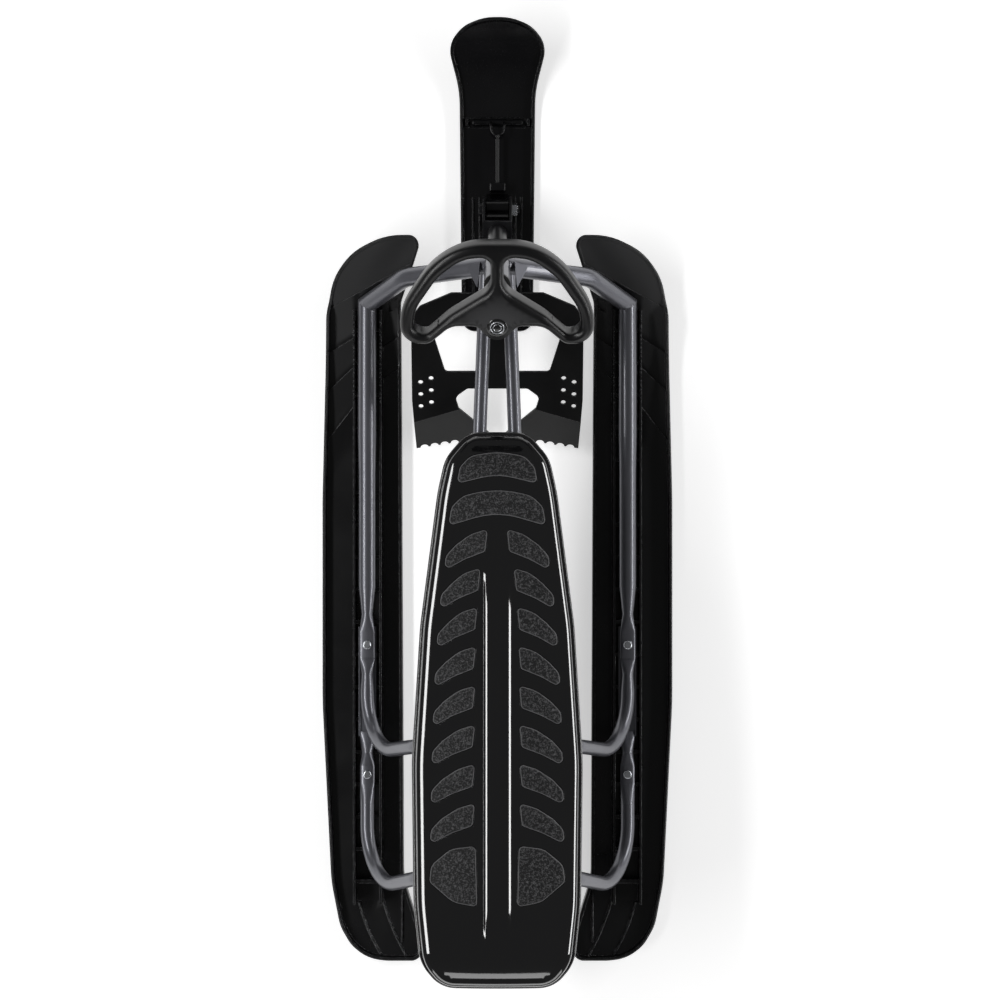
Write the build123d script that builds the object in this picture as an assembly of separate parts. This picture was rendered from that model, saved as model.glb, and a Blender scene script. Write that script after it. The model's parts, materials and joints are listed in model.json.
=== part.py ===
from build123d import *
import math
import os

# Steerable snow sled for one adult rider, as separate pieces in one frame.
# Units are millimetres. +X is the rider's right, +Y is forward and +Z is up.
# The origin is on the ground, below the middle of the sled's length and width.

# ---------------------------------------------------------------- overall places
NOSE_Y = 635.0             # tip of the front ski
TAIL_Y = -635.0            # rear ends of the runners
RUN_GAP = 0.2              # gap left at a weld or a seat between two pieces
PIN_CLEARANCE = 0.08       # radial clearance of a pin that turns in its bore

# ---------------------------------------------------------------- frame tubes
MAIN_D = 25.0              # cross tube and side tubes
MAIN_WALL = 1.75
HOOP_D = 19.0              # the two hoops that carry the seat
HOOP_WALL = 1.5
RAIL_D = 17.5              # the twin rails under the seat
RAIL_WALL = 1.5
TUBE_Z = 42.0              # height of the tubes that lie in the runners
SIDE_X = 176.0             # those tubes' distance from the middle
MITRE_Y = 254.0            # where a side tube meets the cross tube
BEND = (122.0, 284.0, 105.0)
CROSS_TOP = (0.0, 292.0, 190.0)
CROSS_BEND_R = 45.0
MITRE_REACH = 700.0        # size of the cutting block at a mitre

# ---------------------------------------------------------------- steering
PIVOT = (0.0, 382.0, 45.0)  # the front ski's pivot bolt
RAKE = 32.6                 # steering axis, degrees back from vertical
HUB_T = 338.5               # wheel's top face, along the axis from the pivot
HEAD_D = 34.0
HEAD_WALL = 2.5
HEAD_LOW_T = 130.0
HEAD_HIGH_T = 220.0
GUSSET_T = 3.0
GUSSET_CORNERS = [(19, 296, 193), (38, 291, 178), (24, 262, 196)]
COLUMN_D = 25.0
COLUMN_WALL = 2.0
BUSH_LENGTH = 18.0
BUSH_FLANGE_R = 17.0
BUSH_FLANGE_T = 3.0
COLLAR_R = 16.5
COLLAR_LENGTH = 8.0
COLLAR_GAP = 0.5
FORK_INNER = 33.0           # clear width between the fork's cheeks
FORK_PLATE = 3.0
FORK_REACH = 69.0           # from the pivot to the underside of the fork's cap
FORK_CAP = 4.0
FORK_HALF = 17.0            # half the breadth of a fork cheek
PIVOT_BOLT_R = 5.0
BOLT_HEAD_R = 8.0
BOLT_HEAD_T = 5.0

# ---------------------------------------------------------------- steering wheel
WHEEL_DEPTH = 28.0
WHEEL_WALL = 3.4
WHEEL_ROUND = 4.0
WHEEL_BOSS_R = 18.0
WHEEL_BOSS_LENGTH = 46.0
HUB_CAP_R = 13.0
HUB_CAP_T = 3.0
# Right half of the wheel's outline from top to hub: across, up from the hub, corner radius.
WHEEL_HALF = [(44.6, 111, 90), (84.6, 80, 100), (119.5, 24, 80), (119.5, -27, 26), (84, -27, 15),
              (57, -1, 26), (25, -1, 16), (12, -17.5, 10)]
# Right hand hole, round from its upper inner corner.
WHEEL_HOLE = [(8, 93, 12), (40, 93, 50), (72, 68, 80), (102.5, 20, 60), (102.5, -12, 13),
              (86, -12, 7), (60, 14, 60), (8, 50, 28)]

# ---------------------------------------------------------------- front ski
SKI_TAIL_Y = 220.0
SKI_FLAT_Y = 500.0          # ahead of this the ski curves up
SKI_TIP_Z = 78.0            # base line at 5 mm past the tip
SKI_HALF = 48.5
SKI_PLATE = 5.0
SKI_RIM_H = 11.0
SKI_RIM_T = 3.0
SKI_BLOCK_HALF = 15.8       # the moulded block that takes the pivot bolt
SKI_BLOCK_R = 13.0
SKI_BLOCK_FOOT = 52.0       # length of the block's foot on the ski
# Right half of the front ski's outline from tip to tail: across, along, corner radius.
SKI_OUTLINE = [(18, NOSE_Y, 85), (46.8, NOSE_Y - 9.6, 45), (67, NOSE_Y - 31.4, 28),
               (51.8, NOSE_Y - 87, 150), (SKI_HALF, SKI_TAIL_Y, 18)]

# ---------------------------------------------------------------- tow gear
TOW_BAR_Y = 505.0
TOW_BAR_LENGTH = 70.0
TOW_BAR_D = 9.0
TOW_YOKE_Y = 484.0
TOW_CORD_D = 5.0
TOW_ARM_RISE = 8.5          # the yoke's arms, above the bar's axis
TOW_CORD_RISE = 11.0
TOW_ARM_X = 9.0
TOW_ARM_R = 2.6
TOW_KNOT_R = 4.2
TOW_KNOT_FLAT = 3.2         # the knot is cut flat here, where the cord leaves
TOW_HOUSING = (22.0, 12.0, 20.0)
TOW_HOUSING_Y = 409.0       # rear face of the housing

# ---------------------------------------------------------------- runners
RUNNER_TIP_Y = 343.0
RUNNER_TIP_Z = 76.0
RUNNER_FLAT_FRONT_Y = 150.0
RUNNER_TAIL_RUN = 90.0      # length over which the tail rises
RUNNER_FLAT_REAR_Y = TAIL_Y + RUNNER_TAIL_RUN
RUNNER_TAIL_Z = 15.0
RUNNER_PLATE = 5.0
RUNNER_RIM_H = 22.0
RUNNER_RIM_T = 3.5
RUNNER_RIM_FRONT_Y = 262.0  # ahead of this the rim is low
CHANNEL_HALF = 16.3         # half the clear width of the tube channel
CHANNEL_WALL = 3.0
CHANNEL_TOP_Z = 39.0
CHANNEL_FRONT_Y = 250.0
CHANNEL_REAR_Y = TAIL_Y + 75.0
SADDLE_PITCH = 44.0
SADDLE_T = 5.0
BOLT_1_Y = -206.0
BOLT_2_Y = -381.5
BOLT_R = 3.0
BOLT_HOLE_R = 3.3
BOLT_BOSS_R = 9.0
BOLT_DOME_R = 6.0
BOLT_DOME_T = 4.0

# Right runner's outline, round from the tip's inner corner: across from its tube, along, corner radius.
RUNNER_OUTLINE = [(-76, RUNNER_TIP_Y + 1, 13), (-26, RUNNER_TIP_Y + 1, 100), (20, 323, 80),
                  (46, 290, 75), (56, 244, 130), (62, -10, 800), (62, -285, 800),
                  (50, TAIL_Y + 105, 200), (38, TAIL_Y + 45, 60), (23, TAIL_Y + 21, 45),
                  (1, TAIL_Y + 3, 60), (-26, TAIL_Y, 80), (-74, TAIL_Y, 15),
                  (-74.5, TAIL_Y + 27, 40), (-48.5, TAIL_Y + 110, 80), (-45, 258, 30)]

# ---------------------------------------------------------------- seat hoops
FRONT_HOOP_Y = -352.0       # where the front hoop's leg leaves the runner
FRONT_HOOP_TOP = (95.0, -326.0)
REAR_HOOP_Y = -536.0
REAR_HOOP_TOP = (93.5, -494.0)
HOOP_LOW_R = 70.0
HOOP_HIGH_R = 44.0
TONGUE_T = 4.0              # a tube's end where it is pressed flat
TONGUE_HALF = 10.0          # half the breadth of that flat end
NECK_R = 7.5                # a tube where it is drawn in beside a bolt
SIDE_PRESS_Y = 75.0         # behind this a side tube is pressed to an oval
SIDE_OVAL = (11.5, 10.5)    # half the breadth and height of that oval
FOOT_Z = 37.0               # middle of the rear hoop's foot, pressed flat at its bolt
FOOT_OVAL = (10.0, 3.4)
TROUGH_FRONT_Y = -182.0     # front end of the rear hoop's pressed trough
TROUGH_REAR_Y = -330.0
TROUGH_HALF = 12.0
TROUGH_H = 6.0
TROUGH_WALL = 2.0

# ---------------------------------------------------------------- seat rails
RAIL_FRONT = (14.9, 272.0, 197.0)
RAIL_SPREAD = 0.039         # outward, for each millimetre to the rear
RAIL_RISE = 0.0282
RAIL_REAR_Y = -520.0
RAIL_CLEARANCE = 0.3         # between a rail and the seat that sits on it

# ---------------------------------------------------------------- seat
SEAT_FRONT_Y = 76.0
SEAT_REAR_Y = -629.0
SEAT_WALL = 3.5
SEAT_TOP_OVER_RAIL = 62.0
SEAT_EDGE_OVER_RAIL = 3.0
SEAT_CROWN_R = 480.0
SEAT_LAST_FLAT_Y = -560.0   # behind this the seat rounds down
SEAT_LIP = 48.0             # fall of the seat's front and rear lips
SEAT_RIBS = 7
SEAT_RIB_T = 3.0
SEAT_RIB_FRONT_Y = 16.0
SEAT_RIB_PITCH = 92.5
# Right half of the seat's outline from nose to tail: across, along, corner radius.
SEAT_HALF = [(38, SEAT_FRONT_Y, 36), (66.5, SEAT_FRONT_Y - 34, 50), (76, SEAT_FRONT_Y - 76, 300),
             (98, -170, 300), (108.5, -340, 500),
             (106, SEAT_REAR_Y + 109, 300), (98, SEAT_REAR_Y + 34, 60), (72, SEAT_REAR_Y, 40)]
PAD_DEPTH = 1.6
PAD_PROUD = 0.8
PAD_FIT = 0.4
PAD_CORNER_R = 4.0
PAD_LOW_Z = 232.0            # below every pad, above the seat's edge
PAD_ROWS = 8
PAD_ROW_PITCH = 49.0
PAD_ROW_Y = -48.0
PAD_FRONT = [(-50, 14), (-42, 42), (0, 50), (42, 42), (50, 14), (0, 20)]
PAD_SECOND = [(-60, -42), (-53, -9), (0, 3), (53, -9), (60, -42), (0, -27)]
PAD_LEAF = [(0, 0, 0), (0, 0, -29), (0, 1, -50), (-2, 1, -31), (24, 0, -9)]  # shift, inner or outer, along
PAD_LAST = [(27, -3), (27, -78), (50, -72), (84, -48), (82, -26), (58, -8)]

# ---------------------------------------------------------------- brake
BRAKE_AXIS = (252.0, 165.0)   # along and above
BRAKE_PIN_R = 4.0
BRAKE_SLEEVE_R = 7.0
BRAKE_SLEEVE_HALF = 15.0
BRAKE_LUG_X = 19.0
BRAKE_LUG_T = 4.0
BRAKE_LUG_HALF = 9.0
BRAKE_SLOPE = 31.2            # plate below horizontal, degrees
BRAKE_SHEET = 3.0
# Right half of the brake plate in its own plane: across, up the slope from the pin, corner radius.
BRAKE_EDGE = [(60, 4, 5), (101, -15, 8), (113, -32, 8), (114, -154, 12), (112, -189, 0.4), (51, -169, 0.4),
              (56, -150, 9), (40, -137, 6)]
BRAKE_FOLD = [(112, -188), (51, -168)]  # ends of the fold on the right, in the plate's plane
BRAKE_WINDOW = [(22, -42), (88, -42), (69, -111.5), (22, -111.5)]
BRAKE_WINDOW_R = 5.0
BRAKE_HOLE_ROWS = [(102, -127.5), (88, -121.5)]  # first hole of each row on the right
BRAKE_FOOT = (110.0, 57.0)    # across and along, where the row of teeth starts
BRAKE_HOLE_R = 3.15
BRAKE_HOLE_PITCH = 18.2
BRAKE_TOOTH_PITCH = 13.5
BRAKE_TOOTH_R = 5.4
BRAKE_TEETH_Z = 23.0
BRAKE_FOOT_REACH = 25.0       # how far the row of teeth runs inward past the fold


# ================================================================ helpers
def both_sides(shape):
    # The piece and its mirror image across the middle.
    return shape + mirror(shape, about=Plane.YZ)


def hollow_tube(points, bends, outer_d, wall):
    # A bent round tube: straight runs joined by arcs.
    if len(points) > 2:
        path = FilletPolyline(*points, radius=bends)
    else:
        path = Line(*points)
    start = Plane(origin=path @ 0, z_dir=path % 0)
    skin = sweep(start * Circle(outer_d / 2), path=path)
    bore = sweep(start * Circle(outer_d / 2 - wall), path=path)
    return skin - bore


def across(x, y, z):
    # A section plane that faces backward, with its own y upward.
    return Plane(origin=(x, y, z), x_dir=(1, 0, 0), z_dir=(0, -1, 0))


def pressed_run(x, stages):
    # A bar along the sled that changes section; each stage is y, z, half width, half height.
    body = Part()
    for start, end in zip(stages, stages[1:]):
        faces = []
        for y, z, a, b in (start, end):
            section = Circle(a) if a == b else Ellipse(a, b)
            faces.append(across(x, y, z) * section)
        body += loft(faces)
    return body


def rod(start, end, radius):
    # A straight round bar between two points.
    axis = Vector(*end) - Vector(*start)
    return Plane(origin=start, z_dir=axis) * extrude(Circle(radius), amount=axis.length)


def rounded_face(corners):
    # A flat face with straight sides and rounded corners, each given as x, y and radius.
    points = [(x, y) for x, y, r in corners]
    radii = [r for x, y, r in corners]
    return make_face(FilletPolyline(*points, radius=radii, close=True))


def mirrored_face(half):
    # The same, from the corners of its right half, listed from one end to the other.
    left = [(-x, y, r) for x, y, r in reversed(half)]
    return rounded_face(half + left)


# ================================================================ steering frame
AXIS = Vector(0, -math.sin(math.radians(RAKE)), math.cos(math.radians(RAKE)))


def axis_plane(t):
    # Plane square to the steering axis, t along it, its own y pointing up the wheel.
    origin = Vector(*PIVOT) + AXIS * t
    return Plane(origin=origin, x_dir=(1, 0, 0), z_dir=AXIS)


def on_axis(radius, low_t, high_t):
    return axis_plane(low_t) * extrude(Circle(radius), amount=high_t - low_t)


def head_tube():
    body = on_axis(HEAD_D / 2, HEAD_LOW_T, HEAD_HIGH_T)
    return body - on_axis(HEAD_D / 2 - HEAD_WALL, HEAD_LOW_T, HEAD_HIGH_T)


def bushing(end_t, inward):
    # A flanged plastic bush, pressed into one end of the head tube.
    sleeve_end = end_t + inward * BUSH_LENGTH
    flange_end = end_t - inward * BUSH_FLANGE_T
    sleeve = on_axis(HEAD_D / 2 - HEAD_WALL - 0.1, min(end_t, sleeve_end), max(end_t, sleeve_end))
    flange = on_axis(BUSH_FLANGE_R, min(end_t, flange_end), max(end_t, flange_end))
    bore = on_axis(COLUMN_D / 2 + PIN_CLEARANCE, HEAD_LOW_T - 10, HEAD_HIGH_T + 10)
    return sleeve + flange - bore


def column():
    top_t = HUB_T - 6
    low_t = FORK_REACH + FORK_CAP
    body = on_axis(COLUMN_D / 2, low_t, top_t)
    return body - on_axis(COLUMN_D / 2 - COLUMN_WALL, low_t, top_t)


def column_collar():
    high_t = HEAD_LOW_T - BUSH_FLANGE_T - COLLAR_GAP
    body = on_axis(COLLAR_R, high_t - COLLAR_LENGTH, high_t)
    return body - on_axis(COLUMN_D / 2 + RUN_GAP, high_t - COLLAR_LENGTH, high_t)


def fork():
    # Two cheeks and a cap, which straddle the front ski's block.
    cheek_plane = Plane(origin=PIVOT, x_dir=(0, AXIS.Z, -AXIS.Y), z_dir=(1, 0, 0))
    cheek = Circle(FORK_HALF) + Pos(0, (FORK_REACH + FORK_CAP) / 2) * Rectangle(
        2 * FORK_HALF, FORK_REACH + FORK_CAP)
    cheek -= Circle(PIVOT_BOLT_R + RUN_GAP)
    right = Pos(FORK_INNER / 2, 0, 0) * (cheek_plane * extrude(cheek, amount=FORK_PLATE))
    width = FORK_INNER + 2 * FORK_PLATE
    cap = axis_plane(FORK_REACH) * extrude(Rectangle(width, 2 * FORK_HALF), amount=FORK_CAP)
    return both_sides(right) + cap


def pivot_bolt():
    outer = FORK_INNER / 2 + FORK_PLATE
    head_x = -outer - RUN_GAP
    y, z = PIVOT[1], PIVOT[2]
    shank = rod((head_x, y, z), (outer + 10, y, z), PIVOT_BOLT_R)
    return shank + rod((head_x - BOLT_HEAD_T, y, z), (head_x, y, z), BOLT_HEAD_R)


def pivot_nut():
    low_x = FORK_INNER / 2 + FORK_PLATE + RUN_GAP
    plane = Plane(origin=(low_x, PIVOT[1], PIVOT[2]), x_dir=(0, 1, 0), z_dir=(1, 0, 0))
    body = RegularPolygon(BOLT_HEAD_R + 0.6, 6) - Circle(PIVOT_BOLT_R + RUN_GAP)
    return plane * extrude(body, amount=7)


def wheel():
    # A butterfly wheel with two hand holes, open on its underside.
    outline = mirrored_face(WHEEL_HALF)
    hole = rounded_face(WHEEL_HOLE)
    sheet = outline - both_sides(hole)
    body = extrude(sheet, amount=-WHEEL_DEPTH)
    body = fillet(body.faces().sort_by(Axis.Z)[-1].edges(), WHEEL_ROUND)
    pocket = offset(sheet, amount=-WHEEL_WALL)
    body -= Pos(0, 0, -WHEEL_DEPTH) * extrude(pocket, amount=WHEEL_DEPTH - WHEEL_ROUND - 2)
    body += Pos(0, 0, -WHEEL_BOSS_LENGTH) * extrude(Circle(WHEEL_BOSS_R), amount=WHEEL_BOSS_LENGTH - 2)
    body -= Pos(0, 0, -WHEEL_BOSS_LENGTH) * extrude(
        Circle(COLUMN_D / 2 + RUN_GAP), amount=WHEEL_BOSS_LENGTH - 6 + RUN_GAP)
    body -= Pos(0, 0, -HUB_CAP_T + 1) * extrude(Circle(HUB_CAP_R + RUN_GAP), amount=HUB_CAP_T)
    return axis_plane(HUB_T) * body


def hub_cap():
    low = HUB_T - HUB_CAP_T + 1
    disc = extrude(Circle(HUB_CAP_R), amount=HUB_CAP_T)
    disc = fillet(disc.faces().sort_by(Axis.Z)[-1].edges(), 1.2)
    return axis_plane(low) * disc


# ================================================================ frame tubes
def mitre_cut(side):
    # Half space ahead of the plane that halves the corner of side tube and cross tube.
    corner = Vector(side * SIDE_X, MITRE_Y, TUBE_Z)
    leg = (Vector(side * BEND[0], BEND[1], BEND[2]) - corner).normalized()
    plane = Plane(origin=corner, z_dir=Vector(0, 1, 0) + leg)
    return plane * extrude(Rectangle(MITRE_REACH, MITRE_REACH), amount=MITRE_REACH)


def cross_tube():
    # One bent tube from runner to runner, cut to fit the head tube.
    corner = Vector(SIDE_X, MITRE_Y, TUBE_Z)
    bend = Vector(*BEND)
    overrun = corner + (corner - bend).normalized() * MAIN_D
    right = hollow_tube([overrun, bend, Vector(*CROSS_TOP)], CROSS_BEND_R, MAIN_D, MAIN_WALL)
    right = right & mitre_cut(1)
    return both_sides(right - head_envelope())


def side_tube(side):
    # Round at the front, pressed narrower along the runner, necked, and flat at its bolt.
    x = side * SIDE_X
    top_z = TUBE_Z + TONGUE_T / 2
    front = rod((x, MITRE_Y + MAIN_D, TUBE_Z), (x, SIDE_PRESS_Y, TUBE_Z), MAIN_D / 2)
    front -= rod((x, MITRE_Y + MAIN_D, TUBE_Z), (x, SIDE_PRESS_Y, TUBE_Z), MAIN_D / 2 - MAIN_WALL)
    front -= mitre_cut(side)
    stages = [(SIDE_PRESS_Y, TUBE_Z, MAIN_D / 2, MAIN_D / 2), (SIDE_PRESS_Y - 50, TUBE_Z, *SIDE_OVAL),
              (BOLT_1_Y + 78, TUBE_Z, *SIDE_OVAL), (BOLT_1_Y + 41, TUBE_Z + 1, NECK_R, NECK_R),
              (BOLT_1_Y + 18, top_z, TONGUE_HALF, TONGUE_T / 2),
              (BOLT_1_Y - 17, top_z, TONGUE_HALF, TONGUE_T / 2)]
    body = front + pressed_run(x, stages)
    hole = rod((x, BOLT_1_Y, TUBE_Z - 20), (x, BOLT_1_Y, TUBE_Z + 20), BOLT_HOLE_R)
    return body - hole


def rail_z(y):
    return RAIL_FRONT[2] + RAIL_RISE * (RAIL_FRONT[1] - y)


def rail_x(y):
    return RAIL_FRONT[0] + RAIL_SPREAD * (RAIL_FRONT[1] - y)


def rail_point(side, y):
    return (side * rail_x(y), y, rail_z(y))


def rail_envelope(side, clearance):
    # The room that a rail takes, for pieces cut to clear it.
    front = rail_point(side, RAIL_FRONT[1] + 30)
    return rod(front, rail_point(side, RAIL_REAR_Y - 30), RAIL_D / 2 + clearance)


def cross_envelope(side):
    # The room that the cross tube's upper leg takes.
    run = Vector(*CROSS_TOP) - Vector(*BEND)
    run = Vector(side * run.X, run.Y, run.Z)
    start = Vector(side * BEND[0], BEND[1], BEND[2])
    end = start + run * 1.1
    return rod(start, end, MAIN_D / 2 + RUN_GAP)


def head_envelope():
    return on_axis(HEAD_D / 2 + RUN_GAP, HEAD_LOW_T - 40, HEAD_HIGH_T + 40)


def seat_rail(side):
    ends = [rail_point(side, RAIL_FRONT[1] + 6), rail_point(side, RAIL_REAR_Y)]
    body = hollow_tube(ends, 0, RAIL_D, RAIL_WALL) - head_envelope() - cross_envelope(side)
    return body.solids().sort_by(Axis.Y)[0]


def hoop_top_z(y):
    # A hoop's top run carries the rails.
    return rail_z(y) - RAIL_D / 2 - HOOP_D / 2 - RUN_GAP


def front_hoop():
    top_x, top_y = FRONT_HOOP_TOP
    top_z = hoop_top_z(top_y)
    start_y = BOLT_1_Y - 62
    points = [(SIDE_X, start_y, TUBE_Z), (SIDE_X, FRONT_HOOP_Y, TUBE_Z), (top_x, top_y, top_z),
              (-top_x, top_y, top_z), (-SIDE_X, FRONT_HOOP_Y, TUBE_Z), (-SIDE_X, start_y, TUBE_Z)]
    bends = [HOOP_LOW_R, HOOP_HIGH_R, HOOP_HIGH_R, HOOP_LOW_R]
    body = hollow_tube(points, bends, HOOP_D, HOOP_WALL)
    low_z = TUBE_Z - TONGUE_T / 2 - RUN_GAP
    stages = [(BOLT_1_Y + 16, low_z, TONGUE_HALF, TONGUE_T / 2),
              (BOLT_1_Y - 20, low_z, TONGUE_HALF, TONGUE_T / 2),
              (BOLT_1_Y - 40, TUBE_Z, NECK_R, NECK_R), (start_y, TUBE_Z, HOOP_D / 2, HOOP_D / 2)]
    for side in (1, -1):
        x = side * SIDE_X
        body += pressed_run(x, stages)
        body -= rod((x, BOLT_1_Y, TUBE_Z - 20), (x, BOLT_1_Y, TUBE_Z + 20), BOLT_HOLE_R)
    return body


def rear_hoop():
    top_x, top_y = REAR_HOOP_TOP
    top_z = hoop_top_z(top_y)
    start_y = BOLT_2_Y - 38.5
    points = [(SIDE_X, start_y, TUBE_Z), (SIDE_X, REAR_HOOP_Y, TUBE_Z), (top_x, top_y, top_z),
              (-top_x, top_y, top_z), (-SIDE_X, REAR_HOOP_Y, TUBE_Z), (-SIDE_X, start_y, TUBE_Z)]
    bends = [HOOP_LOW_R, HOOP_HIGH_R, HOOP_HIGH_R, HOOP_LOW_R]
    body = hollow_tube(points, bends, HOOP_D, HOOP_WALL)
    floor_z = trough_floor_z()
    overlap_z = floor_z + TROUGH_H * 0.4
    stages = [(TROUGH_REAR_Y + 6, overlap_z, TROUGH_HALF - 0.5, TROUGH_H * 0.4),
              (BOLT_2_Y + 29.5, FOOT_Z + 1, NECK_R, NECK_R), (BOLT_2_Y + 11.5, FOOT_Z, *FOOT_OVAL),
              (BOLT_2_Y - 12.5, FOOT_Z, *FOOT_OVAL), (start_y, TUBE_Z, HOOP_D / 2, HOOP_D / 2)]
    for side in (1, -1):
        x = side * SIDE_X
        body += pressed_run(x, stages)
        body += trough(x, floor_z)
        for bolt_y in (BOLT_1_Y, BOLT_2_Y):
            body -= rod((x, bolt_y, TUBE_Z - 20), (x, bolt_y, TUBE_Z + 20), BOLT_HOLE_R)
    return body


def trough_floor_z():
    # Underside of the pressed trough, just over the runner's saddles.
    return TUBE_Z - MAIN_D / 2


def trough(x, floor_z):
    # The rear hoop's front end, pressed to a trough under the front hoop's leg.
    outer = Pos(0, TROUGH_H / 2) * Rectangle(2 * TROUGH_HALF, TROUGH_H)
    inner = Pos(0, TROUGH_H / 2 + TROUGH_WALL + 0.4) * Rectangle(2 * (TROUGH_HALF - TROUGH_WALL), TROUGH_H)
    profile = fillet((outer - inner).vertices().sort_by(Axis.Y)[:2], 1.5)
    length = TROUGH_FRONT_Y - TROUGH_REAR_Y
    return across(x, TROUGH_FRONT_Y, floor_z) * extrude(profile, amount=length)


def gusset(side):
    # Triangular plate between head tube, cross tube and rail.
    corners = [Vector(side * x, y, z) for x, y, z in GUSSET_CORNERS]
    normal = (corners[1] - corners[0]).cross(corners[2] - corners[0]).normalized()
    if normal.Z < 0:
        normal = normal * -1
    face = make_face(Polyline(*corners, close=True))
    body = extrude(face, amount=GUSSET_T, dir=normal)
    body -= head_envelope()
    body -= cross_envelope(side)
    body -= rail_envelope(side, RUN_GAP)
    return body.solids().sort_by(SortBy.VOLUME)[-1]


# ================================================================ runners
def rising_wire(lift, front_y, rear_y, flat_front, flat_rear, tip_z, tail_z):
    # A ski's base line in the side view: arc up to the tip, flat, arc up to the tail.
    reach = front_y - flat_front
    tip_r = (reach ** 2 + tip_z ** 2) / (2 * tip_z)
    tip = Vector(0, front_y, tip_z + lift)
    mid_angle = math.asin(reach / tip_r) / 2
    tip_mid = Vector(0, flat_front + tip_r * math.sin(mid_angle), tip_r * (1 - math.cos(mid_angle)) + lift)
    flat_a = Vector(0, flat_front, lift)
    flat_b = Vector(0, flat_rear if tail_z > 0 else rear_y, lift)
    wire = ThreePointArc(tip, tip_mid, flat_a) + Line(flat_a, flat_b)
    if tail_z > 0:
        back = flat_rear - rear_y
        tail_r = (back ** 2 + tail_z ** 2) / (2 * tail_z)
        half = math.asin(back / tail_r) / 2
        tail_mid = Vector(0, flat_rear - tail_r * math.sin(half), tail_r * (1 - math.cos(half)) + lift)
        wire += ThreePointArc(flat_b, tail_mid, Vector(0, rear_y, tail_z + lift))
    return wire


def ribbon(low_lift, high_lift, front_y, rear_y, flat_front, flat_rear, tip_z, tail_z):
    # A slab across the sled that follows a ski's base line between two lifts.
    shape = (front_y, rear_y, flat_front, flat_rear, tip_z, tail_z)
    low = rising_wire(low_lift, *shape)
    high = rising_wire(high_lift, *shape)
    tip = Line((0, front_y, tip_z + low_lift), (0, front_y, tip_z + high_lift))
    tail = Line((0, rear_y, tail_z + low_lift), (0, rear_y, tail_z + high_lift))
    return extrude(make_face(low + high + tip + tail), amount=300, both=True)


def runner_ribbon(low, high):
    return ribbon(low, high, RUNNER_TIP_Y + 5, TAIL_Y - 5, RUNNER_FLAT_FRONT_Y, RUNNER_FLAT_REAR_Y,
                  RUNNER_TIP_Z, RUNNER_TAIL_Z)


def runner():
    plan = Pos(SIDE_X, 0, 0) * rounded_face(RUNNER_OUTLINE)
    column_up = extrude(plan, amount=200)
    plate = column_up & runner_ribbon(0, RUNNER_PLATE)
    inset = extrude(offset(plan, amount=-RUNNER_RIM_T), amount=200)
    tip = Box(700, 400, 400, align=(Align.CENTER, Align.MIN, Align.CENTER))
    rim = (column_up - inset) & (runner_ribbon(0, RUNNER_RIM_H) - Pos(0, RUNNER_RIM_FRONT_Y, 0) * tip)
    tip_rim = (column_up - inset) & runner_ribbon(0, RUNNER_PLATE + 2)
    body = plate + rim + tip_rim
    wall_length = CHANNEL_FRONT_Y - CHANNEL_REAR_Y
    wall_y = (CHANNEL_FRONT_Y + CHANNEL_REAR_Y) / 2
    walls = Box(2 * (CHANNEL_HALF + CHANNEL_WALL), wall_length, CHANNEL_TOP_Z - 2,
                align=(Align.CENTER, Align.CENTER, Align.MIN))
    walls -= Box(2 * CHANNEL_HALF, wall_length + 10, 2 * CHANNEL_TOP_Z)
    body += (Pos(SIDE_X, wall_y, 2) * walls) & runner_ribbon(1, 300) & column_up
    body += saddles() & runner_ribbon(1, 300)
    for bolt_y in (BOLT_1_Y, BOLT_2_Y):
        body += Pos(SIDE_X, bolt_y, 1) * extrude(Circle(BOLT_BOSS_R), amount=saddle_top_z() - 1)
        body -= Pos(SIDE_X, bolt_y, 6) * extrude(Circle(BOLT_HOLE_R), amount=60)
    return body


def saddle_top_z():
    return TUBE_Z - MAIN_D / 2 - RUN_GAP


def saddles():
    # Cross ribs in the channel that the tubes lie on.
    count = int((CHANNEL_FRONT_Y - CHANNEL_REAR_Y) / SADDLE_PITCH)
    height = saddle_top_z() - 1
    rib = Box(2 * CHANNEL_HALF + 1, SADDLE_T, height, align=(Align.CENTER, Align.CENTER, Align.MIN))
    ribs = Part()
    for k in range(count):
        ribs += Pos(SIDE_X, CHANNEL_FRONT_Y - 30 - k * SADDLE_PITCH, 1) * rib
    return ribs


def runner_bolts():
    body = []
    for side in (1, -1):
        for bolt_y, seat_z in ((BOLT_1_Y, TUBE_Z + TONGUE_T), (BOLT_2_Y, FOOT_Z + FOOT_OVAL[1])):
            shank = Pos(side * SIDE_X, bolt_y, 8) * extrude(Circle(BOLT_R), amount=seat_z - 8)
            dome = Pos(side * SIDE_X, bolt_y, seat_z) * extrude(Circle(BOLT_DOME_R), amount=BOLT_DOME_T)
            dome = fillet(dome.faces().sort_by(Axis.Z)[-1].edges(), BOLT_DOME_T * 0.6)
            body.append(shank + dome)
    return Compound(children=body)


# ================================================================ front ski
def ski_ribbon(low, high):
    return ribbon(low, high, NOSE_Y + 5, SKI_TAIL_Y - 5, SKI_FLAT_Y, SKI_TAIL_Y - 1, SKI_TIP_Z, 0)


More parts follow.
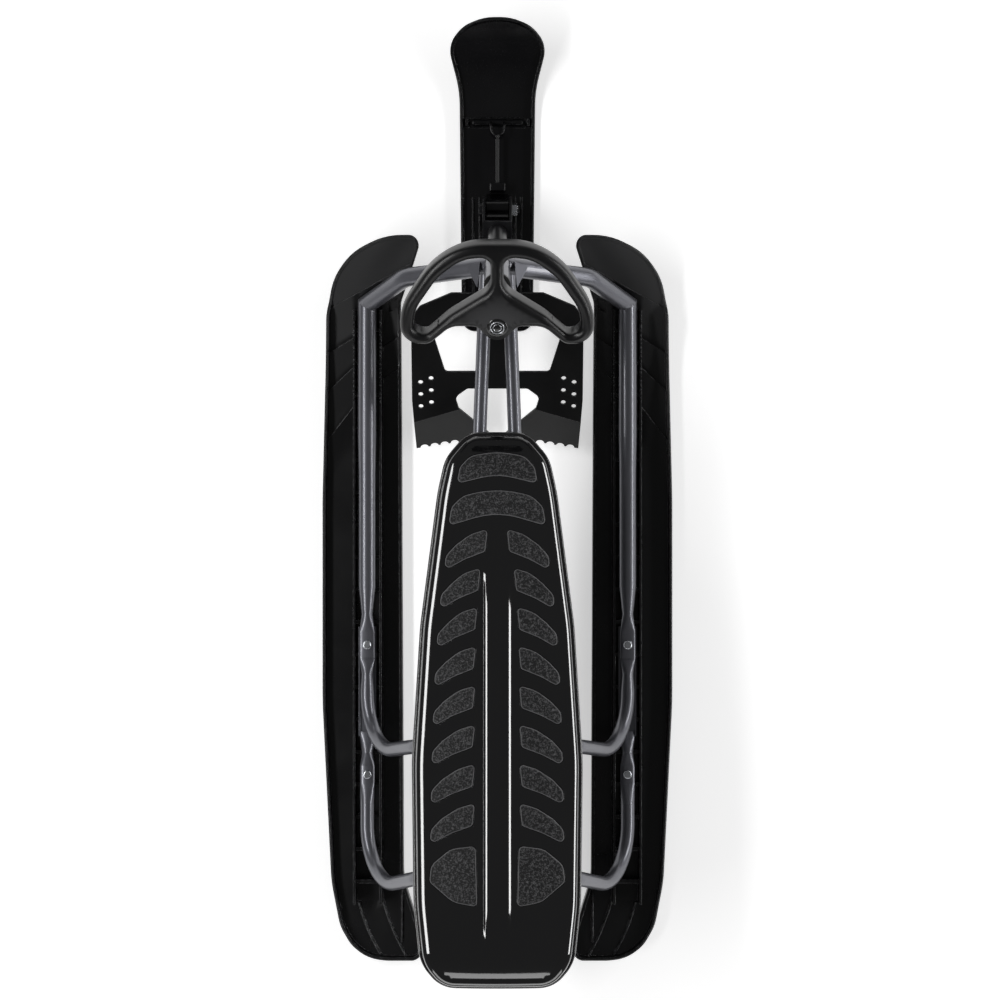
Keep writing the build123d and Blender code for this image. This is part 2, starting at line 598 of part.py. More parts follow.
def front_ski():
    plan = mirrored_face(SKI_OUTLINE)
    column_up = extrude(plan, amount=200)
    body = column_up & ski_ribbon(0, SKI_PLATE)
    inset = extrude(offset(plan, amount=-SKI_RIM_T), amount=200)
    body += (column_up - inset) & ski_ribbon(0, SKI_RIM_H)
    y, z = PIVOT[1], PIVOT[2]
    block = rod((-SKI_BLOCK_HALF, y, z), (SKI_BLOCK_HALF, y, z), SKI_BLOCK_R)
    foot = Polyline((y + SKI_BLOCK_FOOT / 2, 2), (y + SKI_BLOCK_R, z), (y - SKI_BLOCK_R, z),
                    (y - SKI_BLOCK_FOOT / 2, 2), close=True)
    foot_plane = Plane(origin=(-SKI_BLOCK_HALF, 0, 0), x_dir=(0, 1, 0), z_dir=(1, 0, 0))
    block += foot_plane * extrude(make_face(foot), amount=2 * SKI_BLOCK_HALF)
    body += block
    body -= rod((-30, y, z), (30, y, z), PIVOT_BOLT_R + PIN_CLEARANCE)
    slot = Box(TOW_BAR_LENGTH + 4, TOW_BAR_D + 4, 40)
    clip = Box(TOW_BAR_LENGTH + 14, TOW_BAR_D + 10, 10, align=(Align.CENTER, Align.CENTER, Align.MIN))
    body += Pos(0, TOW_BAR_Y, 3) * clip
    body -= Pos(0, TOW_BAR_Y, tow_bar_z()) * slot & ski_ribbon(SKI_PLATE - 1.5, 60)
    return body


def tow_bar_z():
    return SKI_PLATE - 1.5 + RUN_GAP + TOW_BAR_D / 2


def tow_handle():
    # A bar in the ski's slot, with a yoke that narrows to the cord.
    z = tow_bar_z()
    half = TOW_BAR_LENGTH / 2
    elbow = (TOW_ARM_X, TOW_BAR_Y, z + TOW_ARM_RISE)
    centre = (0, TOW_YOKE_Y, z + TOW_CORD_RISE)
    bar = rod((-half, TOW_BAR_Y, z), (half, TOW_BAR_Y, z), TOW_BAR_D / 2)
    arm = rod((TOW_ARM_X, TOW_BAR_Y, z), elbow, TOW_ARM_R) + Pos(*elbow) * Sphere(TOW_ARM_R)
    arm += rod(elbow, centre, TOW_ARM_R)
    knot = Pos(*centre) * Sphere(TOW_KNOT_R)
    behind = Pos(0, TOW_YOKE_Y - TOW_KNOT_FLAT - 10, centre[2]) * Box(20, 20, 20)
    return bar + both_sides(arm) + knot - behind


def tow_cord():
    z = tow_bar_z() + TOW_CORD_RISE
    front = (0, TOW_YOKE_Y - TOW_KNOT_FLAT, z)
    return rod(front, (0, TOW_HOUSING_Y + TOW_HOUSING[1], z), TOW_CORD_D / 2)


def cord_housing():
    x, y, z = TOW_HOUSING
    body = Box(x, y, z, align=(Align.CENTER, Align.MIN, Align.MIN))
    body = fillet(body.edges().filter_by(Axis.Y), 3)
    return Pos(0, TOW_HOUSING_Y, SKI_PLATE) * body


# ================================================================ seat
def seat_wire(drop):
    # The seat's top line in the side view.
    front = SEAT_FRONT_Y + 6 - drop
    rear = SEAT_REAR_Y - 6 + drop
    fore, aft = [rail_z(y) + SEAT_TOP_OVER_RAIL - drop for y in (0, SEAT_LAST_FLAT_Y)]
    return Spline((0, front, fore - SEAT_LIP), (0, 40, fore - 11), (0, 0, fore),
                  (0, SEAT_LAST_FLAT_Y / 2, (fore + aft) / 2 + 1.5), (0, SEAT_LAST_FLAT_Y, aft),
                  (0, SEAT_LAST_FLAT_Y - 40, aft - 12), (0, rear, aft - SEAT_LIP))


def seat_block(drop, inset):
    # The seat's outer form, lowered and drawn in by the given amounts.
    top = seat_wire(drop)
    low_front = Vector(0, (top @ 0).Y, rail_z(SEAT_FRONT_Y) + SEAT_EDGE_OVER_RAIL)
    low_rear = Vector(0, (top @ 1).Y, rail_z(SEAT_REAR_Y) + SEAT_EDGE_OVER_RAIL)
    base = Line(low_rear, low_front)
    side = make_face(top + Line(top @ 1, low_rear) + base + Line(low_front, top @ 0))
    body = extrude(side, amount=150, both=True)
    plan = mirrored_face(SEAT_HALF)
    if inset > 0:
        plan = offset(plan, amount=-inset)
    body &= extrude(plan, amount=400)
    crown_low = Vector(0, 100, rail_z(100) + SEAT_TOP_OVER_RAIL - drop + 1 - SEAT_CROWN_R)
    crown_high = Vector(0, -650, rail_z(-650) + SEAT_TOP_OVER_RAIL - drop + 1 - SEAT_CROWN_R)
    return body & rod(crown_low, crown_high, SEAT_CROWN_R)


def pad_outlines():
    # Twenty pads: two across the front, eight pairs of leaves and one larger pair.
    right = []
    for k in range(PAD_ROWS):
        y = PAD_ROW_Y - k * PAD_ROW_PITCH
        edges = (30 - 16 * 0.45 ** k, 65 + 20 * (1 - 0.7 ** k))
        right.append([(edges[side] + shift, y + along) for shift, side, along in PAD_LEAF])
    y = PAD_ROW_Y - PAD_ROWS * PAD_ROW_PITCH
    right.append([(x, y + along) for x, along in PAD_LAST])
    left = [[(-x, y) for x, y in leaf] for leaf in right]
    return [PAD_FRONT, PAD_SECOND] + right + left


def pad_prisms(grow):
    prisms = []
    for points in pad_outlines():
        face = make_face(Polyline(*points, close=True))
        face = fillet(face.vertices(), PAD_CORNER_R)
        if grow > 0:
            face = offset(face, amount=grow)
        prisms.append(Pos(0, 0, PAD_LOW_Z) * extrude(face, amount=100))
    return prisms


def seat_shell():
    outer = seat_block(0, 0)
    inner = seat_block(SEAT_WALL, SEAT_WALL)
    inner = Pos(0, 0, -0.01) * inner
    body = outer - inner
    ribs = Part()
    for k in range(SEAT_RIBS):
        y = SEAT_RIB_FRONT_Y - k * SEAT_RIB_PITCH
        rib = Box(300, SEAT_RIB_T, 200, align=(Align.CENTER, Align.CENTER, Align.MIN))
        ribs += Pos(0, y, rail_z(y) + 2) * rib
    body += ribs & seat_block(SEAT_WALL - 0.5, SEAT_WALL - 0.5)
    return body - rail_envelope(1, RAIL_CLEARANCE) - rail_envelope(-1, RAIL_CLEARANCE)


# ================================================================ brake
SLOPE = math.radians(BRAKE_SLOPE)
DOWN = Vector(0, -math.cos(SLOPE), -math.sin(SLOPE))
BRAKE_ORIGIN = Vector(0, BRAKE_AXIS[0], BRAKE_AXIS[1])


def brake_plane():
    # In the plate: x to the right, y up the slope towards the front, z off its top face.
    return Plane(origin=BRAKE_ORIGIN, x_dir=(1, 0, 0), z_dir=Vector(1, 0, 0).cross(DOWN * -1))


def brake_outline():
    face = mirrored_face(BRAKE_EDGE)
    window = fillet(make_face(Polyline(*BRAKE_WINDOW, close=True)).vertices(), BRAKE_WINDOW_R)
    face -= window + mirror(window, about=Plane.YZ)
    for x, first in BRAKE_HOLE_ROWS:
        for k in range(3):
            for side in (1, -1):
                face -= Pos(side * x, first - k * BRAKE_HOLE_PITCH) * Circle(BRAKE_HOLE_R)
    return face


def plate_point(x, y):
    return BRAKE_ORIGIN + Vector(x, 0, 0) + DOWN * -y


def brake_flange():
    # The rear edge on the right, folded down to a level row of teeth.
    outer, inner = (plate_point(*end) for end in BRAKE_FOLD)
    along = (inner - outer).normalized()
    foot = Vector(*BRAKE_FOOT, BRAKE_TEETH_Z)
    normal = along.cross(foot - outer).normalized()
    plane = Plane(origin=outer, x_dir=along, z_dir=normal)
    foot_local = plane.to_local_coords(foot)
    depth = foot_local.Y
    length = (inner - outer).length
    foot_end = length + BRAKE_FOOT_REACH
    level = -along.Z / plane.y_dir.Z
    end_depth = depth + level * (foot_end - foot_local.X)
    edge = [(0, 0), (length, 0), (foot_end, end_depth), (foot_local.X, depth)]
    face = make_face(Polyline(*edge, close=True))
    teeth = int((foot_end - foot_local.X) / BRAKE_TOOTH_PITCH)
    for k in range(teeth):
        x = (k + 0.8) * BRAKE_TOOTH_PITCH
        face -= Pos(foot_local.X + x, depth + level * x) * Circle(BRAKE_TOOTH_R)
    thick = -BRAKE_SHEET if normal.Z > 0 else BRAKE_SHEET
    return plane * extrude(face, amount=thick)


def brake_plate():
    sheet = extrude(brake_outline(), amount=-BRAKE_SHEET)
    body = brake_plane() * (Pos(0, 0, -BRAKE_SLEEVE_R + 1.5) * sheet)
    drop = brake_plane().z_dir * (-BRAKE_SLEEVE_R + 1.5)
    body += both_sides(brake_flange().moved(Location(drop)))
    y, z = BRAKE_AXIS
    sleeve = rod((-BRAKE_SLEEVE_HALF, y, z), (BRAKE_SLEEVE_HALF, y, z), BRAKE_SLEEVE_R)
    body += sleeve
    body -= rod((-200, y, z), (200, y, z), BRAKE_PIN_R + PIN_CLEARANCE)
    notch = Box(BRAKE_LUG_T + 3, 2 * BRAKE_LUG_HALF + 14, 2 * BRAKE_LUG_HALF + 14)
    return body - both_sides(Pos(BRAKE_LUG_X, y, z) * notch)


def brake_lugs():
    # Two ears under the rails that hold the brake's pin.
    y, z = BRAKE_AXIS
    plane = Plane(origin=(BRAKE_LUG_X - BRAKE_LUG_T / 2, y, z), x_dir=(0, 1, 0), z_dir=(1, 0, 0))
    face = Circle(BRAKE_LUG_HALF) + Pos(0, 14) * Rectangle(2 * BRAKE_LUG_HALF, 28)
    face -= Circle(BRAKE_PIN_R + RUN_GAP)
    ear = plane * extrude(face, amount=BRAKE_LUG_T)
    ear -= rail_envelope(1, RUN_GAP)
    ear = ear.solids().sort_by(Axis.Z)[0]
    return both_sides(ear)


def brake_pin():
    y, z = BRAKE_AXIS
    half = BRAKE_LUG_X + BRAKE_LUG_T / 2 + 4
    return rod((-half, y, z), (half, y, z), BRAKE_PIN_R)


# ================================================================ the sled
def build():
    right_runner = runner()
    pieces = {
        "right_runner": right_runner,
        "left_runner": mirror(right_runner, about=Plane.YZ),
        "front_cross_tube": cross_tube(),
        "right_side_tube": side_tube(1),
        "left_side_tube": side_tube(-1),
        "front_seat_hoop": front_hoop(),
        "rear_seat_hoop": rear_hoop(),
        "right_seat_rail": seat_rail(1),
        "left_seat_rail": seat_rail(-1),
        "steering_head_tube": head_tube(),
        "right_gusset": gusset(1),
        "left_gusset": gusset(-1),
        "upper_bushing": bushing(HEAD_HIGH_T, -1),
        "lower_bushing": bushing(HEAD_LOW_T, 1),
        "runner_bolts": runner_bolts(),
        "brake_lugs": brake_lugs(),
        "brake_pin": brake_pin(),
        "brake_plate": brake_plate(),
        "steering_wheel": wheel(),
        "wheel_hub_cap": hub_cap(),
        "steering_column": column(),
        "column_collar": column_collar(),
        "ski_fork": fork(),
        "ski_pivot_bolt": pivot_bolt(),
        "ski_pivot_nut": pivot_nut(),
        "front_ski": front_ski(),
        "cord_housing": cord_housing(),
        "tow_cord": tow_cord(),
        "tow_handle": tow_handle(),
    }
    shell = seat_shell()
    recess = seat_block(-30, 0) - seat_block(PAD_DEPTH + RUN_GAP, 0)
    for prism in pad_prisms(PAD_FIT):
        shell -= prism & recess
    pieces["seat_shell"] = shell
    layer = seat_block(-PAD_PROUD, 0) - seat_block(PAD_DEPTH, 0)
    pieces["seat_pads"] = Compound(children=[prism & layer for prism in pad_prisms(0)])
    return pieces


os.makedirs("parts", exist_ok=True)
for name, piece in build().items():
    export_step(piece, f"parts/{name}.step")
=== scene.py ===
# %% [markdown]
# # A steerable snow sled
# A snow racer is a steel tube frame that slides on three skis. The rider sits on a long moulded seat, turns
# the front ski with a raked wheel, and treads on a toothed plate to brake. The tubes, pins and plates come
# from a CAD model, which fixes every place and size. This lesson gives them their finish, and builds in
# mesh the pieces whose soft, moulded forms a CAD solid only hints at: the wheel, the seat, the pads and the
# skis.

# %% Load the frame
import bpy
import bmesh
import json
import math
from mathutils import Matrix, Vector
from mathutils.geometry import delaunay_2d_cdt
from mathutils.kdtree import KDTree


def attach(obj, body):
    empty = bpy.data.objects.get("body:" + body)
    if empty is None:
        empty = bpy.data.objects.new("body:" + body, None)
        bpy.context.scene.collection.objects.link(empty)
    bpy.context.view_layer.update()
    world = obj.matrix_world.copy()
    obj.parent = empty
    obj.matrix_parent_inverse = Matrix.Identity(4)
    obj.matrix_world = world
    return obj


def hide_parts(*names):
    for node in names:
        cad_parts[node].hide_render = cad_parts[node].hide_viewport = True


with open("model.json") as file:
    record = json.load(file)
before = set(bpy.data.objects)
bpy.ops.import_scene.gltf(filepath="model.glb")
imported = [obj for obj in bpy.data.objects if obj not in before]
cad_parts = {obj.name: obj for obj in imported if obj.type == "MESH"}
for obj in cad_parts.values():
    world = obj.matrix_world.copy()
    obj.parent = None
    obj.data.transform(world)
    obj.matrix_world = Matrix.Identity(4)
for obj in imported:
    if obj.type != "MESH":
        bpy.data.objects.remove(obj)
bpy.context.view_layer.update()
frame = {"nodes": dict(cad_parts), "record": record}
nodes = frame["nodes"]
MM = 0.001
IN_METRES = Matrix.Scale(MM, 4)

# %% [markdown]
# ## The camera
# A product picture of a sled is often taken from straight above, so that its plan reads like a drawing. A
# long lens far up keeps the two runners almost parallel, while the raised seat still looks a little larger
# than the skis below it. A camera in Blender looks down its own -Z, so one that isn't turned already looks
# down.

# %% Camera
CAMERA_X, CAMERA_Y, CAMERA_HEIGHT = 0.0035, -0.0105, 3.2
camera_data = bpy.data.cameras.new("camera")
camera_data.lens = 84.15
camera_data.sensor_width = 36
camera = bpy.data.objects.new("camera", camera_data)
camera.location = (CAMERA_X, CAMERA_Y, CAMERA_HEIGHT)
bpy.context.scene.collection.objects.link(camera)
bpy.context.scene.camera = camera
bpy.context.scene.view_settings.view_transform = "Standard"
print("camera height", camera.location.z)

# %% [markdown]
# ## Writing nodes as sentences
# Materials and Geometry Nodes are both trees of small machines. One helper places a machine, sets its knobs
# and connects its inputs, so that a tree reads like a list of steps. Where a whole node is given as a
# value, its first output is meant.

# %% Helpers for node trees
def place(tree, kind, settings=None, **sockets):
    # A node with its properties set, and its sockets set or linked; _0 names a socket by its number.
    node = tree.nodes.new(kind if "Node" in kind else "ShaderNode" + kind)
    for label, value in (settings or {}).items():
        setattr(node, label, value)
    for label, value in sockets.items():
        key = int(label[1:]) if label[0] == "_" else label.replace("_", " ")
        if isinstance(value, bpy.types.Node):
            value = value.outputs[0]
        if isinstance(value, bpy.types.NodeSocket):
            tree.links.new(value, node.inputs[key])
        else:
            node.inputs[key].default_value = value
    return node


def reckon(tree, operation, *values):
    return place(tree, "Math", {"operation": operation}, **{f"_{k}": value for k, value in enumerate(values)})


def mix_colours(tree, share, first, second):
    return place(tree, "Mix", {"data_type": "RGBA"}, Factor=share, _6=first, _7=second).outputs[2]


def new_group(name, inputs, outputs, tree_type="ShaderNodeTree"):
    # An empty group and its input node. An input given as a number is a float with that value.
    group = bpy.data.node_groups.new(name, tree_type)
    for way, sockets in (("INPUT", inputs), ("OUTPUT", outputs)):
        for label, kind in sockets.items():
            named = isinstance(kind, str)
            kind_name = "NodeSocket" + (kind if named else "Float")
            socket = group.interface.new_socket(label, in_out=way, socket_type=kind_name)
            if not named:
                socket.default_value = kind
    return group, group.nodes.new("NodeGroupInput")


# %% [markdown]
# ## Floor and light
# A black object has almost no colour of its own: what the eye reads as its shape is what it reflects. So
# the light comes from long soft panels low at both sides, which draw bright lines along the tubes and the
# seat's edges, and from a wide one behind, which the faces that lean backward pick up as a soft grey. The
# floor is pale, takes the sled's shadow, and glows a little to the camera and in reflections, so that the
# ground reads as white paper without more light on the sled.

# %% Panels of light
def light_panel(name, at, size, power):
    # A rectangular soft light that faces the sled's middle.
    data = bpy.data.lights.new(name, "AREA")
    data.shape = "RECTANGLE"
    data.size, data.size_y = size
    data.energy = power
    lamp = bpy.data.objects.new(name, data)
    lamp.location = at
    lamp.rotation_euler = (Vector((0, 0, 0.1)) - Vector(at)).to_track_quat("-Z", "Y").to_euler()
    bpy.context.scene.collection.objects.link(lamp)


light_panel("left_panel", (-1.55, 0.0, 1.9), (3.0, 0.34), 36)
light_panel("right_panel", (1.95, 0.0, 0.95), (3.0, 0.26), 28)
light_panel("rear_panel", (0, -2.8, 0.7), (2.6, 0.6), 12)
light_panel("front_panel", (0, 2.9, 0.6), (2.2, 0.4), 4)

# %% Floor and world
FLOOR_WHITE, FLOOR_GLOW, FLOOR_HALF = 0.88, 0.50, 6
WORLD_LIGHT, WORLD_SEEN = 0.11, 1.0


def seen_directly(tree):
    # 1 for rays from the camera or a mirror-like surface, 0 for the rays that carry light.
    path = place(tree, "LightPath").outputs
    either = reckon(tree, "MAXIMUM", path["Is Camera Ray"], path["Is Glossy Ray"])
    return reckon(tree, "MAXIMUM", either, path["Is Transmission Ray"])


paper = bpy.data.materials.new("floor_paper")
paper.use_nodes = True
tree = paper.node_tree
tree.nodes.clear()
chalk = place(tree, "BsdfDiffuse", Color=(FLOOR_WHITE, FLOOR_WHITE, FLOOR_WHITE, 1))
glow = place(tree, "Emission", Strength=reckon(tree, "MULTIPLY", seen_directly(tree), FLOOR_GLOW))
place(tree, "OutputMaterial", Surface=place(tree, "AddShader", _0=chalk, _1=glow))

floor_mesh = bpy.data.meshes.new("floor")
floor_corners = [(x * FLOOR_HALF, y * FLOOR_HALF, 0) for x, y in ((-1, -1), (1, -1), (1, 1), (-1, 1))]
floor_mesh.from_pydata(floor_corners, [], [(0, 1, 2, 3)])
floor_mesh.materials.append(paper)
floor = bpy.data.objects.new("floor", floor_mesh)
bpy.context.scene.collection.objects.link(floor)

world = bpy.data.worlds.new("studio")
bpy.context.scene.world = world
world.use_nodes = True
tree = world.node_tree
background = tree.nodes["Background"]
background.inputs["Color"].default_value = (1, 1, 1, 1)
seen = place(tree, "LightPath").outputs["Is Camera Ray"]
level = place(tree, "MapRange", Value=seen, To_Min=WORLD_LIGHT, To_Max=WORLD_SEEN)
tree.links.new(level.outputs[0], background.inputs["Strength"])
print("floor and world ready")

# %% [markdown]
# ## Effects shared by the finishes
# Each effect that more than one finish needs is a node group with named inputs: it is built once and placed
# in every material with its own settings. A group gives only masks, heights and normals. The shader itself
# stays in the material, where its plain numbers are set.
#
# ### Softened edges, scuffed paint and painted edge highlights
# No moulded or pressed edge is a knife edge. The Bevel node looks a millimetre round each corner and
# returns a softened normal, so that edges catch a thin line of light. Where that normal differs from the
# true one there is an edge, and this makes the mask for a paler colour there, broken up by noise: scuffed
# paint and metal on the steel parts, and a painted highlight along the edges of the black plastics.

# %% Group: edges
edges, given = new_group("soft_edges", {"Radius": 0.001, "Break up": 160.0},
                         {"Mask": "Float", "Normal": "Vector"})
bevel = place(edges, "Bevel", {"samples": 4}, Radius=given.outputs["Radius"])
true_normal = place(edges, "NewGeometry").outputs["Normal"]
same = place(edges, "VectorMath", {"operation": "DOT_PRODUCT"}, _0=bevel, _1=true_normal).outputs["Value"]
bend = place(edges, "MapRange", From_Min=0.995, From_Max=0.86, Value=same)
coords = place(edges, "TexCoord").outputs["Object"]
patches = place(edges, "TexNoise", Vector=coords, Scale=given.outputs["Break up"], Detail=3.0)
torn = place(edges, "MapRange", From_Min=0.35, From_Max=0.62, Value=patches)
place(edges, "NodeGroupOutput", Mask=reckon(edges, "MULTIPLY", bend, torn), Normal=bevel)

# %% [markdown]
# ### Moulded grain
# The steel mould of a plastic part is etched, so the part comes out with a fine skin of rounded pebbles.
# Cells from a Voronoi texture give the pebbles, and a noise twice as coarse makes some stand higher than
# others.

# %% Group: grain
grain, given = new_group("moulded_grain", {"Scale": 900.0, "Uneven": 0.5}, {"Height": "Float"})
coords, scale = place(grain, "TexCoord").outputs["Object"], given.outputs["Scale"]
pebbles = place(grain, "TexVoronoi", {"feature": "SMOOTH_F1"}, Vector=coords, Scale=scale).outputs["Distance"]
swell = place(grain, "TexNoise", Vector=coords, Scale=reckon(grain, "MULTIPLY", scale, 0.45), Detail=2.0)
round_top = reckon(grain, "SUBTRACT", 1.0, pebbles)
uneven = place(grain, "Mix", {"data_type": "FLOAT"}, Factor=given.outputs["Uneven"], _2=round_top, _3=swell)
place(grain, "NodeGroupOutput", Height=uneven)

# %% [markdown]
# ### Handling
# Even a new sled has been lifted, packed and wiped. Broad clouds and a few long hairline scratches change
# how sharp the reflections are, never the colour. The scratches are a noise stretched along the sled.

# %% Group: handling
handling, given = new_group("handling_marks", {"Cloud scale": 9.0, "Scratch scale": 60.0},
                            {"Cloud": "Float", "Scratch": "Float"})
coords = place(handling, "TexCoord").outputs["Object"]
cloud = place(handling, "TexNoise", Vector=coords, Scale=given.outputs["Cloud scale"], Detail=4.0)
stretch = place(handling, "Mapping", Vector=coords, Scale=(9.0, 0.12, 9.0), Rotation=(0.0, 0.0, 0.12))
hairs = place(handling, "TexNoise", Vector=stretch, Scale=given.outputs["Scratch scale"], Detail=2.0)
thin = place(handling, "MapRange", From_Min=0.66, From_Max=0.74, Value=hairs)
place(handling, "NodeGroupOutput", Cloud=cloud, Scratch=thin)

# %% [markdown]
# ### Flow of a glossy skin
# Gloss paint and polished plastic are never perfectly flat: they have a shallow ripple, like the peel of an
# orange, and reflections of straight lamps waver in it. Smooth noise of one extra octave is enough.

# %% Group: ripple
ripple, given = new_group("gloss_ripple", {"Scale": 220.0}, {"Height": "Float"})
coords = place(ripple, "TexCoord").outputs["Object"]
place(ripple, "NodeGroupOutput",
      Height=place(ripple, "TexNoise", Vector=coords, Scale=given.outputs["Scale"], Detail=1.0))
print("groups", [g.name for g in bpy.data.node_groups])

# %% [markdown]
# ## The finishes
# One recipe makes them all: a colour made paler at the edges, a roughness that the handling marks
# change, and a relief of grain or ripple over the softened edges. The paler edge is scuffed paint on the
# steel parts and a painted highlight on the black plastics. What differs is the numbers. Metal paint is a
# metal seen through a clear coat, satin plastic is rough with a grain, and the seat is smooth, deep black
# gloss.

# %% Recipe for a finish
finishes = {}


def finish(name, colour, roughness, metallic=0.0, coat=0.0, shine=0.5, skin=(grain, 900.0, 0.00004),
           edge=(0.0009, 0.25), wear_sheen_and_speck=(0.16, 0.16, 0.17), cloud=0.08, scratch=0.06, sheen_and_roughness=None, speckle=0.0):
    # The skin is a relief group with its scale and depth, and an edge has a radius and how much paler it is,
    # scuffed on paint and metal and a painted highlight on black plastic.
    # The second colour and roughness go where the mesh's value of that name is 1; that paler colour is
    # painted light, a sheen on the wheel and runners and a highlight on the pad edges, while the roughness
    # is the surface's own. Speckle lightens the pebbles.
    material = bpy.data.materials.new(name)
    material.use_nodes = True
    tree = material.node_tree
    tree.nodes.clear()
    relief, scale, depth = skin
    borders = place(tree, "Group", {"node_tree": edges}, Radius=edge[0])
    marks = place(tree, "Group", {"node_tree": handling})
    surface = place(tree, "Group", {"node_tree": relief}, Scale=scale)
    edge_wear_and_sheen = reckon(tree, "MULTIPLY", borders.outputs["Mask"], edge[1])
    shade = mix_colours(tree, edge_wear_and_sheen, (*colour, 1), (*wear_sheen_and_speck, 1))
    duller = place(tree, "MapRange", From_Min=0.3, From_Max=0.7, To_Min=max(roughness - cloud, 0.03),
                   To_Max=roughness + cloud, Value=marks.outputs["Cloud"])
    rough = reckon(tree, "MULTIPLY_ADD", marks.outputs["Scratch"], scratch, duller)
    if speckle:
        specks = place(tree, "MapRange", From_Min=0.50, From_Max=0.78, To_Max=speckle, Value=surface)
        shade = mix_colours(tree, specks, shade, (*wear_sheen_and_speck, 1))
    if sheen_and_roughness:
        where = place(tree, "Attribute", {"attribute_name": "sheen_and_roughness"}).outputs["Fac"]
        shade = mix_colours(tree, where, shade, (*sheen_and_roughness[0], 1))
        rough = place(tree, "Mix", {"data_type": "FLOAT"}, Factor=where, _2=rough, _3=sheen_and_roughness[1])
    bump = place(tree, "Bump", Distance=depth, Strength=1.0, Height=surface, Normal=borders.outputs["Normal"])
    shader = place(tree, "BsdfPrincipled", Base_Color=shade, Roughness=rough, Normal=bump, Metallic=metallic,
                   Coat_Weight=coat, Coat_Roughness=0.06, Specular_IOR_Level=shine)
    place(tree, "OutputMaterial", Surface=shader)
    finishes[name] = material


# %% Satin plastics, paints and plated steel
# The first grey is a painted highlight for the edges of black plastic; the second is bare steel where paint is
# scuffed.
EDGE_HIGHLIGHT_GREY, BARE_STEEL = (0.20, 0.20, 0.21), (0.22, 0.22, 0.23)
# The runners' second colour is a painted sheen on the tip and the shingle fronts.
finish("runner_plastic", (0.0045, 0.0045, 0.005), 0.30, shine=0.4, skin=(grain, 1100.0, 0.00003),
       edge=(0.0013, 0.8), wear_sheen_and_speck=EDGE_HIGHLIGHT_GREY, sheen_and_roughness=((0.026, 0.026, 0.027), 0.50))
finish("ski_plastic", (0.0025, 0.0025, 0.003), 0.24, shine=0.35, skin=(grain, 1100.0, 0.00002),
       edge=(0.0012, 0.3), wear_sheen_and_speck=EDGE_HIGHLIGHT_GREY)
# The wheel's second colour is a painted sheen round its hub.
finish("wheel_plastic", (0.004, 0.004, 0.0045), 0.36, shine=0.4, skin=(grain, 1000.0, 0.00004),
       edge=(0.0012, 0.15), sheen_and_roughness=((0.034, 0.034, 0.036), 0.5))
finish("bush_plastic", (0.02, 0.02, 0.02), 0.45, edge=(0.0005, 0.2))
finish("seat_gloss", (0.004, 0.004, 0.0045), 0.09, coat=1.0, skin=(ripple, 120.0, 0.00003), edge=(0.0012, 0.0),
       cloud=0.03, scratch=0.05)
finish("frame_paint", (0.135, 0.137, 0.155), 0.36, metallic=0.72, coat=0.5, skin=(ripple, 260.0, 0.000008),
       edge=(0.0007, 0.25), wear_sheen_and_speck=(0.5, 0.5, 0.52), cloud=0.04, scratch=0.05)
finish("brake_paint", (0.003, 0.003, 0.0033), 0.34, shine=0.22, skin=(ripple, 600.0, 0.00002),
       edge=(0.0011, 0.8), wear_sheen_and_speck=BARE_STEEL)
finish("fork_paint", (0.008, 0.008, 0.009), 0.30, shine=0.4, skin=(ripple, 600.0, 0.00002), edge=(0.0009, 0.6),
       wear_sheen_and_speck=BARE_STEEL)
finish("zinc", (0.62, 0.64, 0.67), 0.26, metallic=1.0, skin=(grain, 1500.0, 0.00002), edge=(0.0005, 0.2),
       wear_sheen_and_speck=(0.8, 0.8, 0.82))
finish("cap_plastic", (0.006, 0.006, 0.0065), 0.18, coat=0.3, skin=(ripple, 400.0, 0.00001),
       edge=(0.0005, 0.2))
# The pads' second colour is a painted highlight on their rounded edges.
finish("pad_grain", (0.007, 0.007, 0.0075), 0.60, shine=0.3, skin=(grain, 620.0, 0.0009), edge=(0.0012, 0.0),
       wear_sheen_and_speck=(0.15, 0.15, 0.155), cloud=0.05, scratch=0.0, speckle=0.75, sheen_and_roughness=((0.17, 0.17, 0.175), 0.45))

# %% [markdown]
# ### Woven cord
# The tow cord is a braid of dark yarn. Its strands cross in two slanted families, so the weave is drawn on
# a UV map, with U round the cord and V along it: two waves that slant opposite ways, and the higher one is
# on top. The same height pushes the strands apart in the bump, and paints shade into the gaps between them.

# %% Braid finish
STRANDS_ROUND, STRANDS_PER_METRE = 4.0, 620.0
cord_fabric = bpy.data.materials.new("cord_fabric")
cord_fabric.use_nodes = True
tree = cord_fabric.node_tree
coords = place(tree, "TexCoord")
strands = []
for slant in (1.0, -1.0):
    turned = place(tree, "Mapping", Vector=coords.outputs["UV"],
                   Scale=(STRANDS_ROUND, slant * STRANDS_PER_METRE, 1.0))
    split = place(tree, "SeparateXYZ", Vector=turned)
    phase = reckon(tree, "ADD", split.outputs["X"], split.outputs["Y"])
    strands.append(reckon(tree, "SINE", reckon(tree, "MULTIPLY", phase, 2 * math.pi)))
depth = place(tree, "MapRange", From_Min=-0.2, From_Max=1.0, Value=reckon(tree, "MAXIMUM", *strands))
fibre = place(tree, "TexNoise", Vector=coords.outputs["Object"], Scale=5200.0, Detail=2.0)
